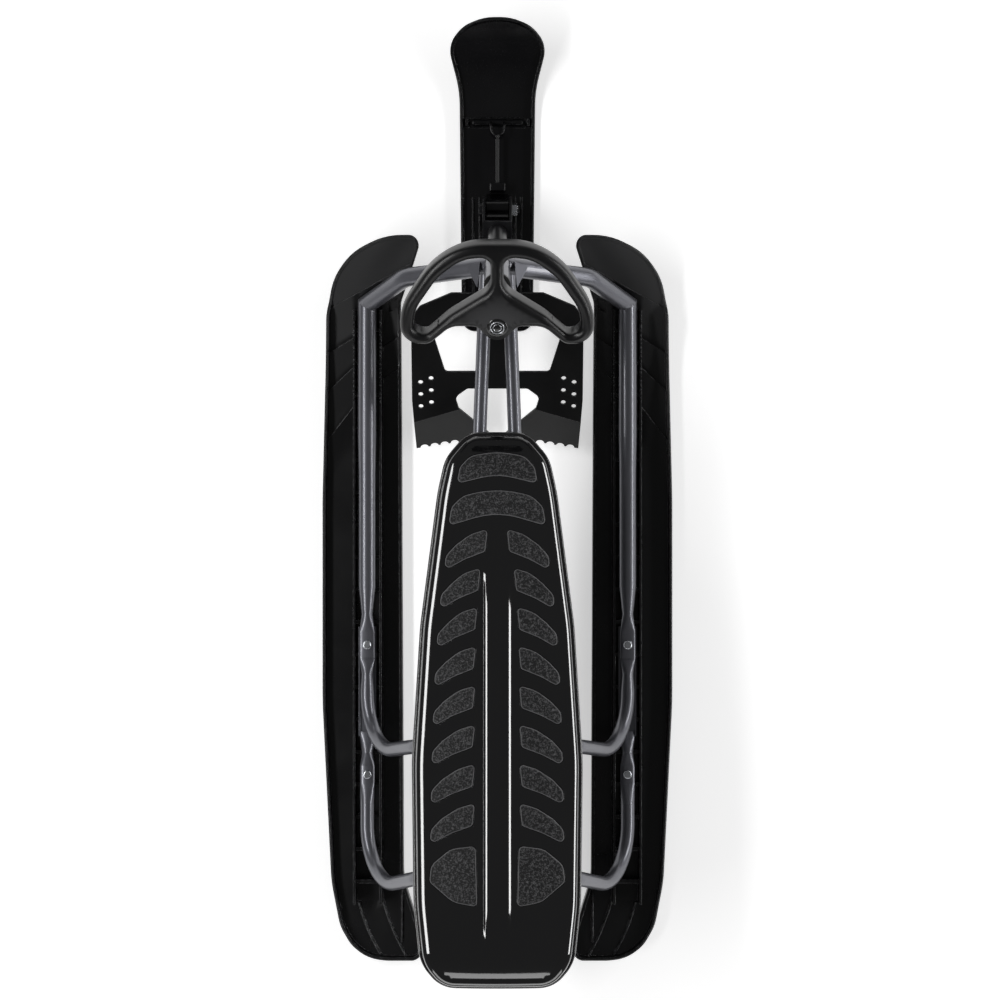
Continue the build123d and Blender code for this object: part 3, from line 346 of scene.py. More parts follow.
# The strand tops are lighter and the gaps between them darker: painted shade in the weave, broken by fibre
# noise.
fibre_and_gap_shade = reckon(tree, "MULTIPLY", depth, fibre)
yarn = mix_colours(tree, fibre_and_gap_shade, (0.006, 0.006, 0.006, 1), (0.034, 0.034, 0.036, 1))
bump = place(tree, "Bump", Distance=0.0004, Strength=1.0, Height=depth)
shader = tree.nodes["Principled BSDF"].inputs
shader["Roughness"].default_value = 0.8
shader["Sheen Weight"].default_value = 0.3
tree.links.new(yarn, shader["Base Color"])
tree.links.new(bump.outputs[0], shader["Normal"])
finishes["cord_fabric"] = cord_fabric
print("finishes", sorted(finishes))

# %% Paint the CAD nodes
for part in frame["record"]["subparts"]:
    materials = nodes[part["node"]].data.materials
    materials.clear()
    materials.append(finishes[part["material_slot"]])

# %% [markdown]
# ## Shapes from drawn outlines
# Moulded pieces start as a drawing: straight sides whose corners are rounded by a compass. The helpers
# below turn corner points and radii into a loop of points. Moving that loop along its own normals gives the
# next line of a rounded edge, so that a stack of such loops is a skin with soft borders. All drawings are
# in millimetres, and a finished mesh is brought into metres as it is put in its place.

# %% Outlines
def rounded_outline(corners, step):
    # Anticlockwise points round a closed outline given as (x, y, corner radius), an angle step apart.
    points = []
    for k, (x, y, radius) in enumerate(corners):
        here = Vector((x, y))
        back = (Vector(corners[k - 1][:2]) - here).normalized()
        on = (Vector(corners[(k + 1) % len(corners)][:2]) - here).normalized()
        opening = back.angle(on)
        reach = radius / math.tan(opening / 2)
        centre = here + (back + on).normalized() * (radius / math.sin(opening / 2))
        start, end = here + back * reach - centre, here + on * reach - centre
        turn = -start.angle_signed(end)
        count = max(2, math.ceil(math.degrees(abs(turn)) / step), math.ceil(abs(turn) * radius / 9))
        for j in range(count + 1):
            points.append(centre + Matrix.Rotation(turn * j / count, 2) @ start)
    return turned_left(spaced(points))


def spaced(points, longest=12.0):
    # The same loop with its long runs divided and its doubled points left out.
    even = []
    for here, after in zip(points, points[1:] + points[:1]):
        run = after - here
        if run.length < 0.05:
            continue
        parts = math.ceil(run.length / longest)
        even += [here + run * (j / parts) for j in range(parts)]
    return even


def turned_left(loop):
    # The loop in anticlockwise order.
    area = sum(a.x * b.y - b.x * a.y for a, b in zip(loop, loop[1:] + loop[:1]))
    return loop if area > 0 else loop[::-1]


def mirrored(corners):
    return [(-x, y, radius) for x, y, radius in reversed(corners)]


def inset(loop, distance):
    # An anticlockwise loop moved inward, point by point, along its own normals.
    moved = []
    for k, here in enumerate(loop):
        along = (loop[(k + 1) % len(loop)] - loop[k - 1]).normalized()
        moved.append(here + Vector((-along.y, along.x)) * distance)
    return moved


# %% Skins
def skin_loops(bm, loops):
    # Quads between closed loops of equal count; returns the vertices of every loop.
    rings = [[bm.verts.new(point) for point in loop] for loop in loops]
    for low, high in zip(rings, rings[1:]):
        for k in range(len(low)):
            j = (k + 1) % len(low)
            bm.faces.new((low[k], low[j], high[j], high[k]))
    return rings


def edge_loops(outline, steps, height, own_height=False):
    # Loops of a rounded edge from (distance in, rise) steps. They rise from the surface's height at the first
    # loop, so that they meet it there, or from the height at each loop's own points.
    first = inset(outline, steps[0][0])
    loops = []
    for distance, rise in steps:
        loop = inset(outline, distance)
        bases = [height(q.x, q.y) for q in (loop if own_height else first)]
        loops.append([Vector((p.x, p.y, base + rise)) for p, base in zip(loop, bases)])
    return loops


def fill_between(bm, rings):
    # Flat triangles inside the first ring and outside the others.
    lines = [bm.edges.get((a, b)) for ring in rings for a, b in zip(ring, ring[1:] + ring[:1])]
    bmesh.ops.triangle_fill(bm, edges=lines, use_beauty=True)


def lathe(bm, profile, count=48):
    # A profile of (radius, height) spun round the axis; ends on the axis are closed by one point.
    turns = [2 * math.pi * k / count for k in range(count)]
    rings = []
    for radius, height in profile:
        spots = [(radius * math.cos(a), radius * math.sin(a), height) for a in turns]
        rings.append([bm.verts.new(spot) for spot in (spots if radius else spots[:1])])
    for low, high in zip(rings, rings[1:]):
        for k in range(count):
            j = (k + 1) % count
            corners = [low[k % len(low)], low[j % len(low)], high[j % len(high)], high[k % len(high)]]
            bm.faces.new(list(dict.fromkeys(corners)))


# %% Pieces
def settle(piece):
    # Turns a piece and its modifiers into one plain mesh.
    bpy.context.view_layer.update()
    evaluated = piece.evaluated_get(bpy.context.evaluated_depsgraph_get())
    solid = bpy.data.meshes.new_from_object(evaluated)
    piece.modifiers.clear()
    piece.data = solid


def fix_to_body(piece, body):
    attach(piece, body)
    print(piece.name, "triangles", sum(len(p.vertices) - 2 for p in piece.data.polygons))


def new_piece(name, bm, body, slot, stands_for=(), crease=35.0, place_at=IN_METRES, weighted=True):
    # Makes the object, smooth but for edges sharper than the crease, and fixes it to its body.
    bm.transform(place_at)
    bmesh.ops.remove_doubles(bm, verts=bm.verts, dist=2e-6)
    bmesh.ops.recalc_face_normals(bm, faces=bm.faces)
    mesh = bpy.data.meshes.new(name)
    bm.to_mesh(mesh)
    bm.free()
    mesh.polygons.foreach_set("use_smooth", [True] * len(mesh.polygons))
    mesh.set_sharp_from_angle(angle=math.radians(crease))
    piece = bpy.data.objects.new(name, mesh)
    bpy.context.scene.collection.objects.link(piece)
    if weighted:
        piece.modifiers.new("flats_first", "WEIGHTED_NORMAL").keep_sharp = True
        settle(piece)
    piece.data.materials.clear()
    piece.data.materials.append(finishes[slot])
    if stands_for:
        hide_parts(*stands_for)
    fix_to_body(piece, body)
    return piece


# %% [markdown]
# ## A drawing lifted into relief
# The seat, the runners and the front ski are all thin mouldings that are wide and long but not deep. Each
# is a plan drawing with a height for every point. The drawing is cut into triangles that follow its outline
# and its feature lines exactly (a constrained Delaunay triangulation), with more points spread in between,
# and then each point is lifted. Two lines half a millimetre apart with different heights make a wall or a
# step.

# %% Triangles inside a drawing
def inside(point, loop):
    # Whether a point is inside a closed loop, by counting crossings.
    crossed = [(a, b) for a, b in zip(loop, loop[1:] + loop[:1]) if (a.y > point.y) != (b.y > point.y)]
    return sum(point.x < (b.x - a.x) * (point.y - a.y) / (b.y - a.y) + a.x for a, b in crossed) % 2 == 1


def within(plan, triangle, loops):
    # Whether the middle of a triangle is inside any of the loops.
    middle = sum((plan[i] for i in triangle), Vector((0, 0))) / 3
    return any(inside(middle, loop) for loop in loops)


def drawn_triangles(border, lines, spacing, loops=(), holes=()):
    # Triangles of the plan inside the border and outside the holes, along all the loops and lines.
    points, runs = [], []
    for line in [loop + loop[:1] for loop in (border, *loops, *holes)] + lines:
        first, closed = len(points), line[0] is line[-1]
        points += line[:-1] if closed else line
        count = len(points) - first
        runs += [(first + k, first + (k + 1) % count) for k in range(count if closed else count - 1)]
    near = {}
    for p in points:
        near.setdefault((round(p.x / spacing), round(p.y / spacing)), []).append(p)
    low = Vector((min(p.x for p in border), min(p.y for p in border)))
    high = Vector((max(p.x for p in border), max(p.y for p in border)))
    row_gap = spacing * 0.87
    for row in range(int((high.y - low.y) / row_gap)):
        for k in range(int((high.x - low.x) / spacing) + 1):
            p = Vector((low.x + (k + row % 2 / 2) * spacing, low.y + row * row_gap))
            i, j = round(p.x / spacing), round(p.y / spacing)
            close = [q for a in (-1, 0, 1) for b in (-1, 0, 1) for q in near.get((i + a, j + b), [])]
            if all((p - q).length > spacing * 0.6 for q in close) and inside(p, border):
                points.append(p)
    plan, _, triangles = delaunay_2d_cdt(points, runs, [], 1, 1e-5)[:3]
    return plan, [t for t in triangles if within(plan, t, [border]) and not within(plan, t, holes)]


def clipped(line, loop):
    # The runs of a line that lie inside a loop.
    runs, run = [], []
    for p in line:
        if inside(p, loop):
            run.append(p)
        elif run:
            runs.append(run)
            run = []
    runs.append(run)
    return [r for r in runs if len(r) > 1]


def drawn_line(start, end, bow=0.0, every=5.0):
    # Points along a line that may bow sideways in its middle.
    start, end = Vector(start), Vector(end)
    side = Vector((-(end - start).y, (end - start).x)).normalized()
    count = max(1, math.ceil((end - start).length / every))
    steps = [k / count for k in range(count + 1)]
    return [start.lerp(end, t) + side * bow * 4 * t * (1 - t) for t in steps]


def lifted(bm, plan, triangles, height, pale=None):
    # Makes the triangles in the mesh, each point at its height; returns the vertices by their plan index.
    # What pale gives for a point becomes its share of the painted paler colour and second roughness, which
    # the finishes read.
    sheen_and_roughness = sheen_and_roughness_layer(bm) if pale else None
    made = {}
    for corners in triangles:
        for i in corners:
            if i not in made:
                made[i] = bm.verts.new((*plan[i], height(*plan[i])))
                if pale:
                    made[i][sheen_and_roughness] = pale(*plan[i])
        bm.faces.new([made[i] for i in corners])
    return made


def sheen_and_roughness_layer(bm):
    return bm.verts.layers.float.get("sheen_and_roughness") or bm.verts.layers.float.new("sheen_and_roughness")


# %% Numbers that fade
def share(value):
    return min(max(value, 0.0), 1.0)


def smooth_step(low, high, value):
    t = share((value - low) / (high - low))
    return t * t * (3 - 2 * t)


def edge_finder(loop):
    # Finds how far a point is from a closed outline.
    fine = spaced(loop, 1.0)
    finder = KDTree(len(fine))
    for k, p in enumerate(fine):
        finder.insert((p.x, p.y, 0), k)
    finder.balance()
    return lambda x, y: finder.find((x, y, 0))[2]


# %% [markdown]
# ## Ribs by Geometry Nodes
# A moulding is stiffened by many small ribs that are all the same block with a narrower top. Geometry Nodes
# make the block once and put a copy at every point of a mesh that holds nothing but those points. Each
# point may carry a number, its turn, and the tree turns that copy by it. What comes out is kept as a plain
# mesh.

# %% Geometry Nodes: tapered ribs on points
ribs_tree, given = new_group("tapered_ribs", {"Geometry": "Geometry", "Across": 0.01, "Along": 0.003,
                                              "Height": 0.01, "Taper": 0.8, "Material": "Material"},
                             {"Geometry": "Geometry"}, "GeometryNodeTree")
given = given.outputs
size = place(ribs_tree, "CombineXYZ", X=given["Across"], Y=given["Along"], Z=given["Height"])
block = place(ribs_tree, "GeometryNodeMeshCube", Size=size)
where = place(ribs_tree, "GeometryNodeInputPosition")
level = place(ribs_tree, "SeparateXYZ", Vector=where).outputs["Z"]
upper = place(ribs_tree, "FunctionNodeCompare", {"operation": "GREATER_THAN"}, _0=level)
narrow = place(ribs_tree, "CombineXYZ", X=given["Taper"], Y=given["Taper"], Z=1.0)
drawn_in = place(ribs_tree, "VectorMath", {"operation": "MULTIPLY"}, _0=where, _1=narrow)
tapered = place(ribs_tree, "GeometryNodeSetPosition", Geometry=block, Selection=upper, Position=drawn_in)
points = place(ribs_tree, "GeometryNodeMeshToPoints", Mesh=given["Geometry"])
turn = place(ribs_tree, "CombineXYZ", Z=place(ribs_tree, "GeometryNodeInputNamedAttribute", Name="turn"))
copies = place(ribs_tree, "GeometryNodeInstanceOnPoints", Points=points, Instance=tapered, Rotation=turn)
real = place(ribs_tree, "GeometryNodeRealizeInstances", Geometry=copies)
painted = place(ribs_tree, "GeometryNodeSetMaterial", Geometry=real, Material=given["Material"])
place(ribs_tree, "NodeGroupOutput", Geometry=painted)


def grow_ribs(name, points, body, slot, turns=(), place_at=IN_METRES, **inputs):
    # Runs the tree on points in millimetres, and keeps its result as a plain mesh.
    mesh = bpy.data.meshes.new(name)
    mesh.from_pydata(points, [], [])
    if turns:
        mesh.attributes.new("turn", "FLOAT", "POINT").data.foreach_set("value", turns)
    piece = bpy.data.objects.new(name, mesh)
    bpy.context.scene.collection.objects.link(piece)
    modifier = piece.modifiers.new("nodes", "NODES")
    modifier.node_group = ribs_tree
    inputs["Material"] = finishes[slot]
    for item in ribs_tree.interface.items_tree:
        if item.in_out == "INPUT" and item.name in inputs:
            modifier[item.identifier] = inputs[item.name]
    settle(piece)
    piece.data.transform(place_at)
    fix_to_body(piece, body)


# %% [markdown]
# ## The tow cord
# The cord runs from its small housing to the tow handle, which is parked in the front ski. It is held at
# both ends and almost taut, so it only sags by half a millimetre. Its line is one NURBS spline. The round
# skin is then built about that line, because a mesh can carry the UV map that the weave needs.

# %% The cord's line, and a round skin about a line
CORD_D, CORD_SAG = 5.0, 0.9
HOUSING_FRONT, KNOT_BACK, CORD_Z = 421.0, 480.8, 19.2


def smooth_line(name, points, closed=False):
    # Points read from a NURBS spline with the given control points, in metres.
    curve = bpy.data.curves.new(name, "CURVE")
    curve.dimensions = "3D"
    curve.resolution_u = 12
    spline = curve.splines.new("NURBS")
    spline.points.add(len(points) - 1)
    for point, spot in zip(spline.points, points):
        point.co = (*(Vector(spot) * MM), 1)
    spline.order_u = 3
    spline.use_cyclic_u = closed
    spline.use_endpoint_u = not closed
    guide = bpy.data.objects.new(name, curve)
    bpy.context.scene.collection.objects.link(guide)
    bpy.context.view_layer.update()
    mesh = bpy.data.meshes.new_from_object(guide.evaluated_get(bpy.context.evaluated_depsgraph_get()))
    line = [v.co.copy() for v in mesh.vertices]
    bpy.data.objects.remove(guide)
    return line


def tube_about(name, line, radius, slot, stands_for=(), count=20, closed=False):
    # A round skin about a line on the ski, with its UV map: U round it, V along it in metres.
    bm = bmesh.new()
    uv = bm.loops.layers.uv.new("UVMap")
    turns = [2 * math.pi * j / count for j in range(count)]
    rings, travelled, side = [], [0.0], None
    for k, here in enumerate(line):
        before = line[k - 1] if k or closed else here
        after = line[(k + 1) % len(line)] if k + 1 < len(line) or closed else here
        along = (after - before).normalized()
        side = side or (Vector((1, 0, 0)) if abs(along.x) < 0.8 else Vector((0, 0, 1)))
        side = (side - along * side.dot(along)).normalized()
        up = along.cross(side)
        rings.append([bm.verts.new(here + (side * math.cos(a) + up * math.sin(a)) * radius) for a in turns])
        if k:
            travelled.append(travelled[-1] + (here - line[k - 1]).length)
    for k in range(len(rings) - (0 if closed else 1)):
        low, high = rings[k], rings[(k + 1) % len(rings)]
        if closed and k == len(rings) - 1:
            shift = min(range(count), key=lambda s: (high[s].co - low[0].co).length)
            high = high[shift:] + high[:shift]
        for j in range(count):
            i = (j + 1) % count
            face = bm.faces.new((low[j], low[i], high[i], high[j]))
            for loop, (u, v) in zip(face.loops, ((j, k), (j + 1, k), (j + 1, k + 1), (j, k + 1))):
                loop[uv].uv = (u / count, travelled[min(v, len(travelled) - 1)])
    if not closed:
        for ring in (rings[0], rings[-1]):
            bm.faces.new(ring)
    return new_piece(name, bm, "ski", slot, stands_for, place_at=Matrix.Identity(4), weighted=False)


cord_points = [(0, HOUSING_FRONT, CORD_Z), (0, 451, CORD_Z - CORD_SAG), (0, KNOT_BACK, CORD_Z)]
cord_line = smooth_line("cord_line", cord_points)
tow_cord = tube_about("tow_cord_braid", cord_line, CORD_D / 2 * MM, "cord_fabric", ["tow_cord"])

# %% [markdown]
# ### Knot and handle
# The cord ends in a knot round the handle's loop. The knot is a rope that passes three times round itself
# (a trefoil), drawn with its formula. The handle is a round bar with a bent loop, of the ski's hard black
# plastic.

# %% Knot and handle
BAR_Y, BAR_Z, BAR_R, BAR_HALF = 505.0, 8.2, 4.5, 35.0
LOOP_R, KNOT_R = 1.9, 1.35
KNOT_Y, KNOT_SIZE, KNOT_DEPTH, KNOT_POINTS = 484.2, 0.72, 0.9, 18
trefoil = []
for k in range(KNOT_POINTS):
    t = 2 * math.pi * k / KNOT_POINTS
    trefoil.append((KNOT_SIZE * (math.sin(t) + 2 * math.sin(2 * t)),
                    KNOT_Y + KNOT_SIZE * (math.cos(t) - 2 * math.cos(2 * t)),
                    CORD_Z - KNOT_DEPTH * math.sin(3 * t)))
knot = tube_about("tow_knot", smooth_line("knot_line", trefoil, closed=True), KNOT_R * MM, "cord_fabric",
                  count=12, closed=True)
half_loop = [(9.0, 505, 9.0), (9.0, 504, 14.0), (9.2, 500.5, 18.4), (8.6, 494, 19.2), (6.2, 488.2, 19.2)]
loop_line = smooth_line("loop_line", half_loop + [(0, 485.2, 19.2)] + mirrored(half_loop))
handle_loop = tube_about("handle_loop", loop_line, LOOP_R * MM, "ski_plastic", count=16)
half_bar = [(0, -BAR_HALF), (2.6, -BAR_HALF), (3.8, 0.6 - BAR_HALF), (4.4, 1.7 - BAR_HALF),
            (BAR_R, 3 - BAR_HALF), (BAR_R, -22), (3.9, -21), (3.9, -13), (BAR_R, -12)]
bm = bmesh.new()
lathe(bm, half_bar + [(r, -z) for r, z in reversed(half_bar)], count=32)
on_bar = IN_METRES @ Matrix.Translation((0, BAR_Y, BAR_Z)) @ Matrix.Rotation(math.pi / 2, 4, "Y")
handle_bar = new_piece("handle_bar", bm, "ski", "ski_plastic", ["tow_handle"], place_at=on_bar)

# %% [markdown]
# ## The steering wheel
# The wheel is one moulding in a butterfly shape: a broad rim with two hand holes, a short stem at the top
# and two low lobes that the hands rest on. Its rim feels round because its top edges are rolled, while
# underneath it is open, so that its walls are all one thickness. It is made as stacked loops of the same
# outline: out and down round the roll, down the outer wall, under the lip, and up again inside to the roof
# of the hollow.

# %% The wheel's place on its raked column
RAKE = math.radians(32.6)
PIVOT = Vector((0, 382, 45))
AXIS = Vector((0, -math.sin(RAKE), math.cos(RAKE)))
WHEEL_UP = 338.5
tilt = Matrix(((1, 0, 0), (0, AXIS.z, -AXIS.y), AXIS)).transposed().to_4x4()
on_column = IN_METRES @ Matrix.Translation(PIVOT + AXIS * WHEEL_UP) @ tilt

# %% Wheel
WHEEL_HALF = [(44.6, 111, 90), (84.6, 80, 100), (119.5, 24, 80), (119.5, -27, 26), (84, -27, 15), (57, -1, 26),
              (25, -1, 16), (12, -17.5, 10)]
WHEEL_HOLE = [(8, 93, 12), (40, 93, 50), (72, 68, 80), (102.5, 20, 60), (102.5, -12, 13), (86, -12, 7),
              (60, 14, 60), (8, 50, 28)]
DEPTH, WALL, ROLL = 28.0, 3.2, 8.3
OUTER_LEAN, HOLE_LEAN = 2.4, 1.2
BOW, BOW_MIDDLE = 0.0006, 62
SHEEN_FROM, SHEEN_TO = 10.0, 66.0


def bowed(x, y, z=0.0):
    # The whole wheel is a little domed from its top to its lobes.
    return z - BOW * (y - BOW_MIDDLE) ** 2


def wheel_walls(bm, outline, lean):
    # Loops from the flat of the top, over the roll, down the leaning wall and up inside the hollow.
    loops = []
    for k in range(9):
        angle = math.radians(90 - 11.25 * k)
        loops.append((ROLL * (1 - math.cos(angle)), ROLL * (math.sin(angle) - 1)))
    for k in range(1, 6):
        loops.append((lean * (k / 5) ** 2, -ROLL - (DEPTH - 1 - ROLL) * k / 5))
    loops += [(lean + 0.9, -DEPTH), (lean + WALL - 0.9, -DEPTH), (lean + WALL, -DEPTH + 1),
              (WALL + 0.5, -ROLL - 5), (WALL + 0.5, -ROLL - 2), (WALL + 4, -5.5)]
    return skin_loops(bm, [[Vector((*p, bowed(*p, z))) for p in inset(outline, gap)] for gap, z in loops])


# The hub's zone is rougher and painted a paler grey that fades outward, a painted sheen.
def hub_sheen_and_roughness(x, y):
    return smooth_step(SHEEN_TO, SHEEN_FROM, math.hypot(x, y + 4))


bm = bmesh.new()
sheen_and_roughness_layer(bm)
outer = rounded_outline(WHEEL_HALF + mirrored(WHEEL_HALF), step=5)
right_hole = rounded_outline(WHEEL_HOLE, step=5)
left_hole = turned_left([Vector((-p.x, p.y)) for p in right_hole])
holes = [hole[::-1] for hole in (right_hole, left_hole)]
walls = [wheel_walls(bm, outer, OUTER_LEAN)] + [wheel_walls(bm, hole, HOLE_LEAN) for hole in holes]
top = drawn_triangles(inset(outer, ROLL), [], 6.0, holes=[inset(hole, ROLL) for hole in holes])
lifted(bm, *top, bowed, hub_sheen_and_roughness)
fill_between(bm, [rings[-1] for rings in walls])
new_piece("wheel_moulding", bm, "steering", "wheel_plastic", ["steering_wheel"], place_at=on_column)

# %% [markdown]
# ### Boss, ribs and cap
# Under the plate a boss grips the column, and short ribs cross the hollow rim all the way round. They
# repeat, so the rib tree places them: its points follow the rim, and each carries the direction that its
# blade takes. The cap on top is turned on a lathe, as a plain disc between two raised rings, and the rings
# are plated.

# %% Ribs across the rim
RIB_IN, RIB_MIDDLE = WALL + 5.2, -12.6
rib_line = inset(outer, RIB_IN)
rib_points, rib_turns = [], []
for k in range(2, len(rib_line), 4):
    across = rib_line[k] - outer[k]
    rib_points.append((*rib_line[k], bowed(*rib_line[k], RIB_MIDDLE)))
    rib_turns.append(math.atan2(across.y, across.x))
grow_ribs("wheel_ribs", rib_points, "steering", "wheel_plastic", rib_turns, on_column,
          Across=10.6, Along=1.6, Height=14.0, Taper=0.9)

# %% Boss and cap
BORE = 12.7
bm = bmesh.new()
lathe(bm, [(BORE, -46), (17.2, -46), (18, -45), (18.6, -6), (BORE, -6), (BORE, -46)])
new_piece("wheel_boss", bm, "steering", "wheel_plastic", place_at=on_column)
slope = math.atan(2 * BOW * BOW_MIDDLE)
on_hub = on_column @ Matrix.Translation((0, 0, bowed(0, 0))) @ Matrix.Rotation(slope, 4, "X")
bm = bmesh.new()
lathe(bm, [(0, 0.35), (4.4, 0.35), (5.0, 0.05), (7.2, 0.05), (7.5, -0.3), (9.2, -0.3), (9.5, 0.5),
           (10.2, 0.95), (11.4, 0.9), (12.4, 0.5), (13.0, -0.2), (13.0, -2), (0, -2)])
new_piece("hub_cap", bm, "steering", "cap_plastic", ["wheel_hub_cap"], place_at=on_hub)
RING_LEVEL, RING_RISE = 0.1, 0.75
bm = bmesh.new()
for inner, outside in ((4.5, 5.4), (7.6, 9.1)):
    middle, half = (inner + outside) / 2, (outside - inner) / 2
    turns = [math.radians(20 * k) for k in range(19)]
    lathe(bm, [(middle + half * math.cos(a), RING_LEVEL + RING_RISE * math.sin(a)) for a in turns])
new_piece("cap_rings", bm, "steering", "zinc", place_at=on_hub)

# %% [markdown]
# ## The seat
# The seat is one long glossy moulding. Its top is slightly crowned from side to side, it rounds down at the
# nose and the tail, and a low raised band with soft flanks runs along its middle. Its edge rolls into a
# shoulder, a narrow groove and an outstanding lip, and twenty pads lie in shallow recesses.

# %% The seat's heights
SEAT_HALF = [(38, 76, 36), (66.5, 42, 50), (76, 0, 300), (98, -170, 300), (108.5, -340, 500), (106, -520, 300),
             (98, -595, 60), (72, -629, 40)]
NOSE_Y, NOSE_BEND, TAIL_Y, TAIL_BEND = 76.0, 14, -629.0, -566
HEAD_Y, RAIL_RISE = 272.0, 0.0282


def rail_height(y):
    # The seat follows the twin rails, which rise a little towards the back.
    return 197.0 + RAIL_RISE * (HEAD_Y - y)


def seat_height(x, y):
    # Top of the seat without its edge: crown, nose, tail and the raised band.
    height = rail_height(y) + 61.5 - x * x / 960.0
    height -= 30.0 * max(0.0, (y - NOSE_BEND) / (NOSE_Y - NOSE_BEND)) ** 2.4
    height -= 32.0 * max(0.0, (TAIL_BEND - y) / (TAIL_BEND - TAIL_Y)) ** 2.2
    ends = smooth_step(-60, -150, y) * smooth_step(-590, -520, y)
    flank = share((14.6 - abs(x)) / 2.2) * 0.8 + share((17.2 - abs(x)) / 2.6) * 1.8
    return height + flank * ends


# %% Drawings of the pads
PAD_ROWS, PAD_PITCH, FIRST_ROW = 8, 49.0, -48.0


def pad_drawings():
    # Corners with their radii: two pads across the front, eight pairs of leaves and one larger pair.
    front = []
    for right, crown, waist in (([(34, 45, 22), (47, 31, 14), (51, 10, 5)], (0, 51, 100), (0, 22, 85)),
                                ([(43, -5, 26), (57.5, -19, 16), (61.5, -43, 5)], (0, 5, 130), (0, -25, 100))):
        front.append(mirrored(right) + [crown] + right + [waist])
    paired = []
    for k in range(PAD_ROWS):
        y = FIRST_ROW - k * PAD_PITCH
        near = 31 - 16 * 0.45 ** k
        far = 66 + 20 * (1 - 0.7 ** k)
        paired.append([(near - 3, y + 1, 4), (near, y - 27, 5), ((near + far) / 2, y - 37, 50),
                       (far, y - 51, 5), (far - 1, y - 33, 15), (far - 14, y - 19, 22), (near + 18, y - 5, 40)])
    y = FIRST_ROW - PAD_ROWS * PAD_PITCH
    paired.append([(27, y - 3, 6), (25, y - 79, 5), (55, y - 74, 30), (85, y - 49, 8), (83, y - 28, 18),
                   (58, y - 7, 26)])
    return front + [drawing for right in paired for drawing in (right, mirrored(right))]


# %% The seat's top, with its recesses
# Section of the edge: distance in from the outline, and rise from the top there.
EDGE = [(17, 0.0), (15.4, -0.25), (11.6, -1.65), (10.4, -2.3), (7.4, -4.35), (6.4, -5.6), (5.8, -7.4),
        (5.6, -10.0), (5.6, -17.5), (6.2, -18.6), (6.2, -20.2), (5.2, -21.0), (2.2, -21.4), (0.9, -22.2),
        (0.2, -23.6), (0.0, -25.4)]
RECESS, RECESS_GAP = 1.9, 0.5
outline = rounded_outline(SEAT_HALF + mirrored(SEAT_HALF), step=5)
rim = inset(outline, EDGE[0][0])
pads = [rounded_outline(drawing, step=12) for drawing in pad_drawings()]
recesses = [inset(pad, -RECESS_GAP) for pad in pads]
bands = [[Vector((side * x, -102.0 - 8 * k)) for k in range(63)] for side in (1, -1)
         for x in (10.5, 12.2, 12.6, 14.4, 14.8, 17.0, 17.4, 19.0)]
for y in [*range(18, 62, 3)] + [-570 - 4 * k for k in range(11)]:
    bands += clipped([Vector((x, y)) for x in range(-96, 97, 6)], inset(rim, 0.8))
plan, triangles = drawn_triangles(rim, bands, 7.0, loops=recesses)
in_pad = {tuple(corners): within(plan, corners, recesses) for corners in triangles}
bm = bmesh.new()
deck = lifted(bm, plan, [t for t in in_pad if not in_pad[t]], seat_height)
sunk = lifted(bm, plan, [t for t in in_pad if in_pad[t]], lambda x, y: seat_height(x, y) - RECESS)
borders = {}
for t in in_pad:
    for a, b in zip(t, t[1:] + t[:1]):
        borders.setdefault(frozenset((a, b)), set()).add(in_pad[t])
for a, b in [tuple(pair) for pair, kinds in borders.items() if len(kinds) == 2]:
    bm.faces.new((deck[a], deck[b], sunk[b], sunk[a]))

# %% The seat's edge, foot and ceiling
# Section of the foot and the inner wall: distance in, and rise over the seat's foot.
FOOT = [(0.0, 1.0), (0.3, 0.2), (1.0, 0.0), (2.6, 0.0), (3.3, 0.2), (3.6, 1.0)]
FOOT_OVER_RAIL, CEILING, CEILING_IN = 3.0, 4.6, 14
stack = edge_loops(outline, EDGE, seat_height)
stack += edge_loops(outline, FOOT, lambda x, y: rail_height(y) + FOOT_OVER_RAIL, own_height=True)
stack.append([Vector((p.x, p.y, seat_height(q.x, q.y) - 9)) for p, q in zip(inset(outline, 9.6), rim)])
stack += edge_loops(outline, [(CEILING_IN, -CEILING)], seat_height)
skin_loops(bm, stack)
ceiling = drawn_triangles(inset(outline, CEILING_IN), [], 22.0)
lifted(bm, *ceiling, lambda x, y: seat_height(x, y) - CEILING)
new_piece("seat_moulding", bm, "frame", "seat_gloss", ["seat_shell"], crease=32)

# %% [markdown]
# ### The ribs under the seat
# Turned over, the seat shows thin cross ribs with a round notch over each rail. They let the shell be thin.
# Each rib is one strip of quads whose lower edge climbs over the rails.

# %% Seat ribs
RIB_COUNT, RIB_PITCH, RIB_HALF, RIB_FOOT = 7, 92.5, 1.5, 2.0
RAIL_X, RAIL_SPREAD, NOTCH_R = 14.9, 0.039, 9.05
bm = bmesh.new()
for k in range(RIB_COUNT):
    y = 16.0 - RIB_PITCH * k
    rail_x = RAIL_X + RAIL_SPREAD * (HEAD_Y - y)
    widest = max(abs(p.x) for p in outline if abs(p.y - y) < 12) - 10
    spots = {round(widest * j / 24, 2) for j in range(-24, 25)}
    spots |= {round(side * rail_x + a, 2) for side in (1, -1) for a in range(-10, 11, 2)}
    rows = []
    for x in sorted(spots):
        notch = math.sqrt(max(NOTCH_R ** 2 - (abs(x) - rail_x) ** 2, 0.0))
        foot, roof = rail_height(y) + max(RIB_FOOT, notch), seat_height(x, y) - CEILING + 0.4
        rows.append([Vector((x, y + RIB_HALF, foot)), Vector((x, y + RIB_HALF, roof)),
                     Vector((x, y - RIB_HALF, roof)), Vector((x, y - RIB_HALF, foot))])
    rings = skin_loops(bm, rows)
    bm.faces.new(rings[0])
    bm.faces.new(rings[-1])
new_piece("seat_ribs", bm, "frame", "seat_gloss")

